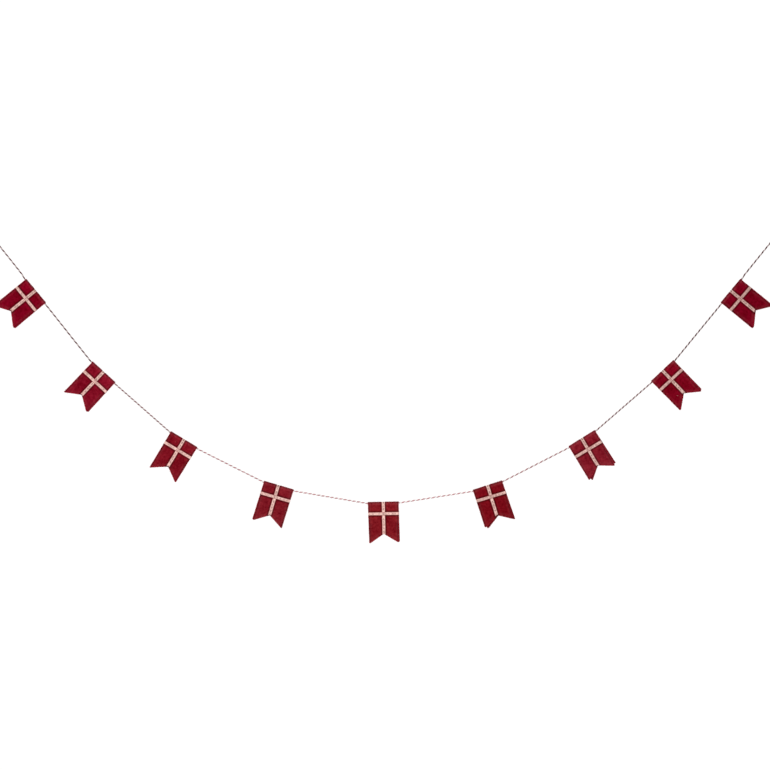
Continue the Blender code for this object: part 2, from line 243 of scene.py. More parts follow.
FLAGS = (
    Flag((-27.1, 69.6), (-1.1, 52.4), (25.2, 68.9), (0.5, 0.0), (1.0, -0.6), 0.7, (1.2, 2.8), (19.3, 19.8),
         (-0.7, -1.2), 2.0, 0.8, -0.6, 0.5, (0.6, 1.0), (0.188, 0.0010, 0.0105), 1.02, 1.5, 1.4),
    Flag((-27.5, 69.1), (-2.1, 51.6), (25.2, 69.2), (0.4, 0.0), (0.9, -0.8), 0.6, (1.0, 3.0), (19.8, 20.3),
         (-0.6, -1.5), -1.5, -0.6, 0.8, -0.4, (0.5, 1.2), (0.207, 0.0044, 0.0155), 1.09, 1.0),
    Flag((-25.8, 69.4), (0.7, 51.3), (25.3, 68.7), (0.5, -0.4), (0.4, -0.3), 0.4, (1.0, 1.6), (19.2, 18.8),
         (0.0, 0.4), 1.0, 0.7, 0.5, 0.8, (0.8, 0.5), (0.191, 0.0052, 0.0125), 1.11, 1.6,
         lint=((-9.9, 8.2), (20.5, 14.0))),
    Flag((-26.6, 67.6), (0.0, 50.8), (25.2, 66.8), (-0.6, -0.6), (-0.4, 0.2), -0.5, (2.2, 1.0), (18.8, 18.6),
         (-0.8, -0.9), -2.0, 1.0, -0.9, 0.3, (0.9, 0.6), (0.184, 0.0074, 0.0142), 1.10, 1.4, 2.2),
    Flag((-25.0, 68.2), (-0.4, 51.7), (25.6, 67.8), (0.5, 0.3), (1.4, -1.0), 0.9, (1.3, 1.8), (17.8, 17.7),
         (0.0, 0.3), 0.5, -0.8, 0.4, -0.6, (0.5, 0.9), (0.196, 0.0078, 0.0128), 1.15, -0.1, 2.6),
    Flag((-26.2, 66.0), (0.6, 51.7), (24.9, 66.4), (3.6, 3.2), (2.3, 1.4), 2.3, (2.0, 1.0), (17.5, 18.6),
         (-0.1, -0.7), 2.5, 0.9, -1.0, 0.6, (1.6, 0.9), (0.170, 0.0032, 0.0078), 1.00, 1.7, 1.8),
    Flag((-26.9, 66.0), (-2.4, 50.8), (23.7, 67.4), (4.3, 3.0), (3.5, -2.8), 2.2, (1.8, 1.4), (19.1, 20.2),
         (-0.4, -1.3), -1.0, 0.6, 1.2, -0.5, (1.8, 1.4), (0.196, 0.0085, 0.0172), 0.94, 0.9),
    Flag((-24.5, 68.4), (-0.5, 50.4), (24.8, 69.6), (1.2, 0.4), (2.4, -1.6), 1.5, (1.3, 2.0), (19.3, 19.2),
         (0.1, 0.5), 1.5, -0.7, 0.7, 0.7, (0.7, 1.2), (0.180, 0.0014, 0.0094), 0.89, 1.4, 1.2,
         lint=((-10.3, 46.7),)),
    Flag((-25.6, 68.9), (1.2, 51.5), (26.6, 70.0), (1.6, 0.3), (0.8, -0.3), 1.2, (2.4, 1.2), (18.8, 19.6),
         (0.0, -0.1), -0.5, 0.8, -0.8, -0.3, (1.1, 0.6), (0.156, 0.0008, 0.0084), 0.81, 1.9, 1.4),
)


def ease(start: float, end: float, value: np.ndarray) -> np.ndarray:
    """Return 0 before start, 1 after end, and a smooth rise between them."""
    share = np.clip((value - start) / (end - start), 0.0, 1.0)
    return share**2 * (3 - 2 * share)


def unit(vectors: np.ndarray) -> np.ndarray:
    """Return the vectors, each one long."""
    return vectors / np.maximum(np.linalg.norm(vectors, axis=-1, keepdims=True), 1e-12)


def run_along(points: np.ndarray) -> np.ndarray:
    """Return how far along the line through the points each of them lies."""
    return np.concatenate([[0.0], np.cumsum(np.linalg.norm(np.diff(points, axis=0), axis=1))])


def at_places(places: np.ndarray, run: np.ndarray, rows: np.ndarray) -> np.ndarray:
    """Return rows of three numbers at these places, between the rows known along a run."""
    return np.stack([np.interp(places, run, rows[:, axis]) for axis in range(3)], axis=1)


@dataclass(frozen=True)
class Lumps:
    """Small unevenness of a surface."""

    height: float
    size: float

    def at(self, points: np.ndarray) -> np.ndarray:
        """Find how far the surface stands out.

        Args:
            points: places in the noise, in the last axis.

        Returns:
            How far it stands out at each point.
        """
        flat = points.reshape(-1, 3) / self.size
        values = np.array([noise.noise(Vector(point)) for point in flat])
        return self.height * values.reshape(points.shape[:-1])


@dataclass
class Shape:
    """A mesh in the making: points in millimetres, faces, and what its points carry for the materials."""

    points: list[np.ndarray] = field(default_factory=list)
    faces: Faces = field(default_factory=list)
    slots: list[int] = field(default_factory=list)
    carried: dict[str, list[np.ndarray]] = field(default_factory=dict)
    count: int = 0

    def add(self, points: np.ndarray, faces: Faces, slot: int = 0, **carried: np.ndarray) -> None:
        """Add a closed surface.

        Args:
            points: its points, one row each.
            faces: its faces, as places in `points`.
            slot: place of its material on the object.
            **carried: values for each point, by attribute name.
        """
        self.faces += [tuple(corner + self.count for corner in face) for face in faces]
        self.slots += [slot] * len(faces)
        self.points.append(points)
        self.count += len(points)
        for name, values in carried.items():
            self.carried.setdefault(name, []).append(values)

    def finish(self, name: str, slot: str, materials: list[bpy.types.Material]) -> bpy.types.Object:
        """Make the object, smooth, facing outwards, riding on the frame.

        Args:
            name: the piece's name.
            slot: the record's material slot; not used.
            materials: its materials, in the order of their slots.

        Returns:
            The finished piece.
        """
        data = bpy.data.meshes.new(name)
        data.from_pydata((np.concatenate(self.points) * MM).tolist(), [], self.faces)
        for attribute, values in self.carried.items():
            values = np.concatenate(values)
            kind, key = ("FLOAT", "value") if values.ndim == 1 else ("FLOAT_VECTOR", "vector")
            layer = data.attributes.new(attribute, kind, "POINT")
            layer.data.foreach_set(key, values.astype(np.float32).ravel())
        for material in materials:
            data.materials.append(material)
        data.polygons.foreach_set("material_index", self.slots)
        mesh = bmesh.new()
        mesh.from_mesh(data)
        bmesh.ops.recalc_face_normals(mesh, faces=mesh.faces)
        mesh.to_mesh(data)
        mesh.free()
        data.shade_smooth()
        piece = bpy.data.objects.new(name, data)
        bpy.context.scene.collection.objects.link(piece)
        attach(piece, BODY)
        log.info("%s: %d faces", name, len(data.polygons))
        return piece


def closed_sheet(outer: np.ndarray, inner: np.ndarray, bulge: float) -> tuple[np.ndarray, Faces, np.ndarray]:
    """Close two grids of points into one sheet with a soft, rounded rim.

    Args:
        outer: points of the outer face, in rows and columns.
        inner: points of the inner face, in the same rows and columns.
        bulge: how far the middle of the rim stands out.

    Returns:
        The points, the faces, and for each point the place in the grid that it belongs to.
    """
    rows, columns = outer.shape[:2]
    size = rows * columns
    grid = np.arange(size).reshape(rows, columns)
    quads = np.stack([grid[:-1, :-1], grid[:-1, 1:], grid[1:, 1:], grid[1:, :-1]], axis=-1).reshape(-1, 4)
    rim = [(0, column) for column in range(columns)]
    rim += [(row, columns - 1) for row in range(1, rows)]
    rim += [(rows - 1, column) for column in range(columns - 2, -1, -1)]
    rim += [(row, 0) for row in range(rows - 2, 0, -1)]
    row, column = np.array(rim).T
    middle = (outer + inner) / 2
    inside = middle[np.clip(row, 1, rows - 2), np.clip(column, 1, columns - 2)]
    outward = unit(middle[row, column] - inside) * bulge
    edge, back = outer[row, column], inner[row, column]
    bands = [edge * (1 - share) + back * share + outward for share in (0.25, 0.75)]
    ring = grid[row, column]
    length = len(rim)
    loops = [ring, 2 * size + np.arange(length), 2 * size + length + np.arange(length), size + ring]
    faces = quads.tolist() + (quads[:, ::-1] + size).tolist()
    for upper, lower in zip(loops, loops[1:]):
        faces += np.stack([upper, lower, np.roll(lower, -1), np.roll(upper, -1)], axis=-1).tolist()
    points = np.concatenate([outer.reshape(-1, 3), inner.reshape(-1, 3), *bands])
    owner = np.concatenate([grid.ravel(), grid.ravel(), ring, ring])
    return points, faces, owner


def tube_faces(rings: int, sides: int) -> Faces:
    """List the faces of a closed tube.

    Args:
        rings: how many rings of points it has.
        sides: how many points are in each ring.

    Returns:
        The faces.
    """
    grid = np.arange(rings * sides).reshape(rings, sides)
    after = np.roll(grid, -1, axis=1)
    walls = np.stack([grid[:-1], after[:-1], after[1:], grid[1:]], axis=-1).reshape(-1, 4)
    return walls.tolist() + [tuple(grid[0][::-1].tolist()), tuple(grid[-1].tolist())]


@dataclass(frozen=True)
class Cloud:
    """Smooth noise in a material."""

    size: float  # how large its lumps are, in the coordinates' unit
    detail: float  # how many finer layers it has
    low: float  # value where the noise is low
    high: float  # value where it is high
    stretch: tuple[float, float, float] = (1.0, 1.0, 1.0)  # what its coordinates are multiplied by


@dataclass(frozen=True)
class Surface:
    """How light meets a material."""

    roughness: float
    gloss: float
    sheen: float = 0.0
    sheen_roughness: float = 0.5
    sheen_tint: Colour = (1.0, 1.0, 1.0)


class Graph:
    """The shader nodes of one material."""

    USUAL = (0.3, 0.7)  # the range that the noise texture mostly keeps to
    GRAIN = 0.6  # how strong each finer layer of noise is beside the last

    def __init__(self, name: str) -> None:
        """Start a material with a Principled shader.

        Args:
            name: the material's name.
        """
        self.material = bpy.data.materials.new(name)
        self.material.use_nodes = True
        self.tree = self.material.node_tree
        self.shader = self.tree.nodes["Principled BSDF"]

    def add(self, kind: str, inputs: dict, **settings: object) -> bpy.types.Node:
        """Add a node.

        Args:
            kind: the node's type.
            inputs: what each input takes, by name or place: another node's output, or a value.
            **settings: the node's own settings.

        Returns:
            The node.
        """
        made = self.tree.nodes.new(kind)
        for name, value in settings.items():
            setattr(made, name, value)
        self.feed(made, inputs)
        return made

    def feed(self, node: bpy.types.Node, inputs: dict) -> None:
        """Give a node's inputs their links and values.

        Args:
            node: the node.
            inputs: what each input takes, by name or place.
        """
        for key, value in inputs.items():
            if isinstance(value, bpy.types.NodeSocket):
                self.tree.links.new(value, node.inputs[key])
            else:
                node.inputs[key].default_value = value

    def object_place(self) -> bpy.types.NodeSocket:
        """Return the Object coordinates."""
        return self.add("ShaderNodeTexCoord", {}).outputs["Object"]

    def carried(self, name: str, output: str) -> bpy.types.NodeSocket:
        """Return an attribute that the mesh carries."""
        return self.add("ShaderNodeAttribute", {}, attribute_name=name).outputs[output]

    def cloud(self, place: bpy.types.NodeSocket, cloud: Cloud) -> bpy.types.NodeSocket:
        """Make noise that runs between two values.

        Args:
            place: the coordinates.
            cloud: the noise.

        Returns:
            The value.
        """
        if cloud.stretch != Cloud.stretch:
            place = self.add("ShaderNodeMapping", {"Vector": place, "Scale": cloud.stretch}).outputs["Vector"]
        texture = self.add("ShaderNodeTexNoise", {
            "Vector": place, "Scale": 1 / cloud.size, "Detail": cloud.detail, "Roughness": self.GRAIN,
        })
        return self.add("ShaderNodeMapRange", {
            "Value": texture.outputs["Fac"], "From Min": self.USUAL[0], "From Max": self.USUAL[1],
            "To Min": cloud.low, "To Max": cloud.high,
        }, clamp=True).outputs["Result"]

    def math(self, operation: str, first: object, second: object) -> bpy.types.NodeSocket:
        """Return the result of a sum on two values."""
        return self.add("ShaderNodeMath", {0: first, 1: second}, operation=operation).outputs[0]

    def parts(self, vector: bpy.types.NodeSocket) -> tuple[bpy.types.NodeSocket, ...]:
        """Return the three numbers of a vector."""
        return tuple(self.add("ShaderNodeSeparateXYZ", {0: vector}).outputs)

    def profile(self, distance: bpy.types.NodeSocket, stops: Stops) -> bpy.types.NodeSocket:
        """Make a tone that follows the distance from an edge.

        Args:
            distance: the distance in millimetres.
            stops: pairs of distance and tone, from 0 outwards.

        Returns:
            The tone, which keeps its last value further off.
        """
        reach, peak = stops[-1][0], max(tone for _, tone in stops)
        node = self.add("ShaderNodeValToRGB", {"Fac": self.math("DIVIDE", distance, reach)})
        ramp = node.color_ramp
        ramp.interpolation = "EASE"
        for stop, (_, tone) in zip(ramp.elements, (stops[0], stops[-1])):
            stop.color = (tone / peak, tone / peak, tone / peak, 1.0)
        for place, tone in stops[1:-1]:
            ramp.elements.new(place / reach).color = (tone / peak, tone / peak, tone / peak, 1.0)
        return self.math("MULTIPLY", node.outputs["Color"], peak)

    def toned(self, colour: bpy.types.NodeSocket, *tones: bpy.types.NodeSocket) -> bpy.types.NodeSocket:
        """Multiply a colour.

        Args:
            colour: the colour.
            *tones: the tones or colours that multiply it, in turn.

        Returns:
            The toned colour.
        """
        for tone in tones:
            colour = self.add("ShaderNodeVectorMath", {0: colour, 1: tone}, operation="MULTIPLY").outputs[0]
        return colour

    def changed(self, first: object, second: object, share: object) -> bpy.types.NodeSocket:
        """Return a colour that goes from the first to the second by a share."""
        return self.add("ShaderNodeMix", {0: share, 6: first, 7: second}, data_type="RGBA").outputs[2]

    def tinted(self, dark: Colour, light: Colour, share: bpy.types.NodeSocket) -> bpy.types.NodeSocket:
        """Return a colour between dark and light."""
        return self.changed((*dark, 1.0), (*light, 1.0), share)

    def relief(self, height: bpy.types.NodeSocket, depth: float, strength: float) -> None:
        """Raise the surface by a height, `depth` millimetres for 1."""
        bump = self.add("ShaderNodeBump", {"Height": height, "Distance": depth * MM, "Strength": strength})
        self.tree.links.new(bump.outputs["Normal"], self.shader.inputs["Normal"])

    def coat(self, colour: bpy.types.NodeSocket, surface: Surface) -> bpy.types.Material:
        """Give the shader its colour and surface.

        Args:
            colour: the colour.
            surface: how light meets it.

        Returns:
            The finished material.
        """
        self.feed(self.shader, {
            "Base Color": colour, "Roughness": surface.roughness, "Specular IOR Level": surface.gloss,
            "Sheen Weight": surface.sheen, "Sheen Roughness": surface.sheen_roughness,
            "Sheen Tint": (*surface.sheen_tint, 1.0),
        })
        return self.material


@dataclass(frozen=True)
class FeltFinish:
    """Matt wool felt: cloudy dye, matted fibres, and painted light and shade at its cut edges, tapes and
    fold.

    The tone profiles are pairs of distance in millimetres and tone. A tone over 1 paints highlight and one
    under 1 paints shade. They run from a cut side edge, from the swallow-tail edge, from the edge of a tape,
    and from the top of the fold. Two more profiles give the share of a pale pink painted highlight beside a
    cut edge and just below the fold.
    """

    # painted highlight on the cut side edge, a painted shade ring just inside it, and a faint painted
    # highlight band further in
    side: Stops = ((0.0, 1.9), (0.6, 1.0), (1.2, 0.56), (2.3, 0.70), (3.7, 1.07), (5.6, 1.0))
    # painted highlight on the swallow-tail edge and faint painted shade just inside it
    tail: Stops = ((0.0, 2.1), (0.8, 1.2), (1.8, 0.92), (3.2, 1.06), (5.0, 1.0))
    # painted shadow on the felt beside the tapes' edges, darkest against them
    seam_shadow: Stops = ((0.0, 0.46), (1.1, 0.54), (2.3, 0.92), (3.6, 1.08), (6.0, 1.0))
    # painted highlight on the crown of the fold, a painted shade band below it, another painted highlight
    # below that, and the top of each panel painted a little lighter as if lit from above
    fold: Stops = (
        (0.0, 1.8), (1.5, 1.05), (2.6, 0.62), (3.8, 0.98),
        (5.4, 1.27), (8.0, 1.08), (20.0, 1.03), (26.0, 1.0),
    )
    # painted highlight: a pale pink lift just inside the cut edges and just below the fold
    nap: Stops = ((0.0, 0.005), (2.4, 0.013), (4.4, 0.011), (6.8, 0.0))
    fold_highlight: Stops = ((0.0, 0.010), (3.0, 0.022), (4.8, 0.026), (6.5, 0.009), (8.0, 0.0))
    # colour of that pale pink painted highlight
    raised: Colour = (0.80, 0.42, 0.44)
    dull: Colour = (0.66, 0.10, 0.38)  # what the dye is multiplied by where it is dull
    lively: Colour = (1.34, 2.10, 1.68)  # the same where it is lively
    dyeing: Cloud = Cloud(0.022, 2.0, 0.26, 0.74)
    matting: Cloud = Cloud(0.0038, 3.0, -0.36, 0.36)
    fibres: Cloud = Cloud(0.0009, 2.0, -0.22, 0.22, (1.0, 1.0, 1.6))
    tufts: Cloud = Cloud(0.0045, 2.0, 0.1, 1.9)
    coarse: Cloud = Cloud(0.0016, 3.0, 0.0, 1.0)
    fine: Cloud = Cloud(0.0004, 1.0, 0.0, 0.8)
    depth: float = 0.16
    strength: float = 0.7
    surface: Surface = Surface(0.95, 0.0, 0.10, 0.45, (1.0, 0.03, 0.07))

    def material(self) -> bpy.types.Material:
        """Make the felt's material, which reads the edge and tape distances, the `fold` and the `dye` that
        the mesh carries, and paints light and shade from the distances.

        Returns:
            The material.
        """
        graph = Graph("wool_felt")
        place = graph.object_place()
        share = graph.math("ADD", graph.cloud(place, self.dyeing), graph.cloud(place, self.matting))
        share = graph.math("ADD", share, graph.cloud(place, self.fibres))
        side, tail, seam_shadow = graph.parts(graph.carried("marks", "Vector"))
        fold = graph.carried("fold", "Fac")
        # painted light and shade: tones from the distances to the cut edges, the tapes and the fold
        tones = [graph.tinted(self.dull, self.lively, share)]
        for distance, stops in ((side, self.side), (tail, self.tail), (seam_shadow, self.seam_shadow), (fold, self.fold)):
            tones.append(graph.profile(distance, stops))
        colour = graph.toned(graph.carried("dye", "Vector"), *tones)
        # painted highlight: pale pink near the cut edges and just below the fold, broken up into tufts
        edge = graph.profile(graph.math("MINIMUM", side, tail), self.nap)
        nap = graph.math("ADD", edge, graph.profile(fold, self.fold_highlight))
        nap = graph.math("MULTIPLY", nap, graph.cloud(place, self.tufts))
        height = graph.math("ADD", graph.cloud(place, self.coarse), graph.cloud(place, self.fine))
        graph.relief(height, self.depth, self.strength)
        return graph.coat(graph.changed(colour, (*self.raised, 1.0), nap), self.surface)


@dataclass(frozen=True)
class FibreFinish:
    """Single wool fibres, which let light through and so look brighter than cloth."""

    name: str
    dark: Colour
    light: Colour
    change: Cloud = Cloud(0.0012, 1.0, 0.0, 1.0)
    surface: Surface = Surface(0.8, 0.1)

    def material(self) -> bpy.types.Material:
        """Make the fibres' material.

        Returns:
            The material.
        """
        graph = Graph(self.name)
        share = graph.cloud(graph.object_place(), self.change)
        return graph.coat(graph.tinted(self.dark, self.light, share), self.surface)


@dataclass(frozen=True)
class TapeFinish:
    """Matt cream cotton twill tape: slanting ribs, crossing yarns, painted shade in rib hollows and
    selvedges, a rosy age.
    """

    # painted shade: the hollow colour darkens the tape between its twill ribs
    hollow_shade: Colour = (0.36, 0.190, 0.165)
    crown: Colour = (0.97, 0.65, 0.575)
    # painted shade along the tape's edges, with a painted red reflection of the felt beside them
    selvedge: Colour = (0.28, 0.040, 0.045)
    body: Stops = ((0.0, 0.0), (0.45, 0.30), (1.0, 1.0))  # share of the full colours, in from the selvedge
    wear: Cloud = Cloud(0.0040, 2.0, -0.34, 0.34)
    yarn: Cloud = Cloud(0.55, 2.0, -0.14, 0.14, (1.0, 0.45, 1.0))
    weft: Cloud = Cloud(0.30, 1.0, 0.0, 1.0, (1.0, 0.3, 1.0))
    depth: float = 0.10
    strength: float = 0.6
    surface: Surface = Surface(0.9, 0.15, 0.06)

    def material(self) -> bpy.types.Material:
        """Make the tape's material, which reads the `weave`, the `rib` and the `tone` that the mesh carries.

        Returns:
            The material.
        """
        graph = Graph("cream_twill_tape")
        place = graph.carried("weave", "Vector")
        wear, yarn = graph.cloud(graph.object_place(), self.wear), graph.cloud(place, self.yarn)
        # painted shade between the ribs from the rib share, with random wear and yarn mottle on top
        share = graph.math("ADD", graph.math("ADD", graph.carried("rib", "Fac"), wear), yarn)
        # painted shade and painted red reflection along the selvedges
        body = graph.profile(graph.parts(place)[2], self.body)
        colour = graph.changed((*self.selvedge, 1.0), graph.tinted(self.hollow_shade, self.crown, share), body)
        graph.relief(graph.cloud(place, self.weft), self.depth, self.strength)
        return graph.coat(graph.toned(colour, graph.carried("tone", "Fac")), self.surface)


@dataclass(frozen=True)
class YarnFinish:
    """Matt spun yarn, with its fibres slanting round it, from worn pale to its full dye."""

    name: str
    shadow: Colour
    light: Colour
    full: Colour = (1.0, 1.0, 1.0)  # what its full dye multiplies the colours by
    streaks: Cloud = Cloud(0.16, 2.0, 0.1, 0.9, (0.12, 1.0, 1.0))
    slubs: Cloud = Cloud(0.0035, 1.0, -0.2, 0.2)
    depth: float = 0.09
    strength: float = 0.8
    surface: Surface = Surface(0.88, 0.12, 0.06)

    def material(self) -> bpy.types.Material:
        """Make the yarn's material, which reads the `lay` and the depth of `dye` that the mesh carries.

        Returns:
            The material.
        """
        graph = Graph(self.name)
        streaks = graph.cloud(graph.carried("lay", "Vector"), self.streaks)
        slubs = graph.cloud(graph.object_place(), self.slubs)
        colour = graph.tinted(self.shadow, self.light, graph.math("ADD", streaks, slubs))
        dye = graph.changed((1.0, 1.0, 1.0, 1.0), (*self.full, 1.0), graph.carried("dye", "Fac"))
        graph.relief(streaks, self.depth, self.strength)
        return graph.coat(graph.toned(colour, dye), self.surface)


@dataclass(frozen=True)
class Finishes:
    """Every material of the bunting."""

    felt: bpy.types.Material
    fibre: bpy.types.Material
    fluff: bpy.types.Material
    tape: bpy.types.Material
    red_ply: bpy.types.Material
    natural_ply: bpy.types.Material
    # the near-black thread, painted shade for the upright tape's stitch dents
    thread: bpy.types.Material
    pale_thread: bpy.types.Material

    @classmethod
    def make(cls) -> "Finishes":
        """Make all the materials.

        Returns:
            The finishes.
        """
        return cls(*(finish.material() for finish in (
            FeltFinish(),
            FibreFinish("loose_red_fibre", (0.34, 0.008, 0.020), (0.70, 0.060, 0.090)),
            FibreFinish("pale_fluff", (0.60, 0.22, 0.20), (0.82, 0.46, 0.42)),
            TapeFinish(),
            YarnFinish("red_ply", (0.43, 0.190, 0.205), (0.72, 0.330, 0.350), (0.12, 0.032, 0.038)),
            YarnFinish("natural_ply", (0.93, 0.89, 0.87), (0.99, 0.98, 0.97), (0.63, 0.54, 0.54)),
            # painted shade: the upright tape's thread is made near black to stand in for the shadow in its
            # deep stitch dents
            YarnFinish("shadow_dark_stitching_thread", (0.030, 0.018, 0.015), (0.085, 0.050, 0.043)),
            YarnFinish("sunken_thread", (0.30, 0.185, 0.16), (0.54, 0.36, 0.315)),
        )))


@dataclass(frozen=True)
class TwineMaker:
    """Lays two plies round each other along a line. Each is oval, so that the two fill the twine's round."""

    red_across: float = 1.18  # half of the red ply's width round the twine
    natural_across: float = 1.08  # the same for the natural ply
    deep: float = 0.57  # half of a ply's depth, and how far its middle lies from the twine's
    sides: int = 8
    step: float = 0.5  # along the twine, between two rings
    fibre_turn: float = 1.1  # how fast the fibres turn round a ply, in radians for each millimetre

    def line(self, points: np.ndarray) -> np.ndarray:
        """Lay out a line again with even steps.

        Args:
            points: points along the line.

        Returns:
            Points along the same line, a step apart.
        """
        run = run_along(points)
        places = np.linspace(0.0, run[-1], math.ceil(run[-1] / self.step) + 1)
        return at_places(places, run, points)

    def axes(self, line: np.ndarray) -> tuple[np.ndarray, np.ndarray]:
        """Find two directions square to the line at each point, carried along it without twisting.

        Args:
            line: the points of the line.

        Returns:
            The direction that starts out facing the front, and the one a quarter turn on.
        """
        along = unit(np.gradient(line, axis=0))
        facing = np.empty_like(line)
        current = np.array((0.0, -1.0, 0.0))
        for place, direction in enumerate(along):
            current = current - direction * (current @ direction)
            current = current / np.linalg.norm(current)
            facing[place] = current
        return facing, np.cross(facing, along)

    def lay(self, shape: Shape, line: np.ndarray, angle: np.ndarray, dye: np.ndarray | float,
            spread: np.ndarray | float = 1.0) -> None:
        """Add both plies to a shape.

        Args:
            shape: the shape that takes them.
            line: the twine's centre line, in even steps.
            angle: angle of the red ply round it at each point, 0 where it faces the front.
            dye: how deep the colours are, from 0 to 1.
            spread: how far apart the plies lie, 1 where they touch.
        """
        facing, rising = self.axes(line)
        run = np.arange(len(line)) * self.step
        corner = np.arange(self.sides) * 2 * math.pi / self.sides
        spread = np.broadcast_to(spread, len(line))
        dye = np.repeat(np.broadcast_to(dye, len(line)), self.sides)
        faces = tube_faces(len(line), self.sides)
        twisted = corner[None] - self.fibre_turn * run[:, None]
        along = np.broadcast_to(run[:, None], twisted.shape)
        lay = np.stack([along, np.cos(twisted), np.sin(twisted)], axis=-1).reshape(-1, 3)
        for ply in Ply:
            across = self.red_across if ply is Ply.RED else self.natural_across
            turn = angle + ply.value * math.pi
            outward = np.cos(turn)[:, None] * facing + np.sin(turn)[:, None] * rising
            beside = -np.sin(turn)[:, None] * facing + np.cos(turn)[:, None] * rising
            middle = line + outward * (self.deep * spread)[:, None]
            rings = (middle[:, None]
                     + outward[:, None] * (self.deep * np.cos(corner))[None, :, None]
                     + beside[:, None] * (across * np.sin(corner))[None, :, None])
            shape.add(rings.reshape(-1, 3), faces, ply.value, lay=lay, dye=dye)


@dataclass
class Twine:
    """The length of two-ply twine that carries the flags."""

    finishes: Finishes
    maker: TwineMaker = TwineMaker()
    tuck: float = 4.5  # how far each end runs on inside its knot
    span_steps: int = 24  # between two points of the route

    def curve(self) -> np.ndarray:
        """Draw the smooth line through the route, straight through each flag.

        Returns:
            Points along it, from inside one knot to inside the other.
        """
        points = [Vector((x, 0.0, z)) / MM for x, z in ROUTE]
        ways = [(end - start).normalized() for start, end in zip(points, points[1:])]
        joined = ((before + after).normalized() for before, after in zip(ways, ways[1:]))
        tangents = [ways[0], *joined, ways[-1]]
        for mouth in range(2 * len(FLAGS)):
            place = FIRST_MOUTH + mouth
            tangents[place] = ways[place] if mouth % 2 else ways[place - 1]
        line = [points[0] - ways[0] * self.tuck]
        for span, (start, end) in enumerate(zip(points, points[1:])):
            pull = BEND_EASE * (end - start).length
            for step in range(self.span_steps):
                share = step / self.span_steps
                line.append(start * (1 + 2 * share) * (1 - share) ** 2 + end * share**2 * (3 - 2 * share)
                            + tangents[span] * pull * share * (1 - share) ** 2
                            + tangents[span + 1] * pull * share**2 * (share - 1))
        line += [points[-1], points[-1] + ways[-1] * self.tuck]
        return self.maker.line(np.array([tuple(point) for point in line]))

    def twist(self, line: np.ndarray) -> tuple[np.ndarray, np.ndarray]:
        """Find how far the red ply has turned at each point, and how deep its dye is, gap by gap.

        Args:
            line: the twine's centre line.

        Returns:
            The angle in radians at each point, 0 where the red ply faces the front, and the depth of the dye.
        """
        run = np.arange(len(line)) * self.maker.step
        mouths = [int(np.argmin(np.abs(line[:, 0] - x / MM))) for x, _ in ROUTE]
        starts = [mouths[0], *mouths[FIRST_MOUTH + 1:-2:2]]
        ends = [*mouths[FIRST_MOUTH:-2:2], mouths[-1]]
        places, angles = [], []
        for start, end, lay in zip(starts, ends, LAYS):
            for place in (start, end):
                places.append(run[place])
                angles.append(2 * math.pi * (run[place] - run[start] - lay.first) / lay.pitch)
        for gap in range(1, len(LAYS)):
            hidden = (places[2 * gap] - places[2 * gap - 1]) / (LAYS[gap - 1].pitch + LAYS[gap].pitch) * 2
            wanted = angles[2 * gap - 1] + 2 * math.pi * hidden
            shift = 2 * math.pi * round((wanted - angles[2 * gap]) / (2 * math.pi))
            angles[2 * gap] += shift
            angles[2 * gap + 1] += shift
        dye = np.interp(run, places, [lay.dye for lay in LAYS for _ in range(2)])
        return np.interp(run, places, angles), dye

    def build(self) -> tuple[bpy.types.Object, np.ndarray]:
        """Make the twine.

        Returns:
            The twine and its centre line.
        """
        line = self.curve()
        shape = Shape()
        self.maker.lay(shape, line, *self.twist(line))
        piece = shape.finish("laid_twine", "twine", [self.finishes.red_ply, self.finishes.natural_ply])
        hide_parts("twine")
        return piece, line


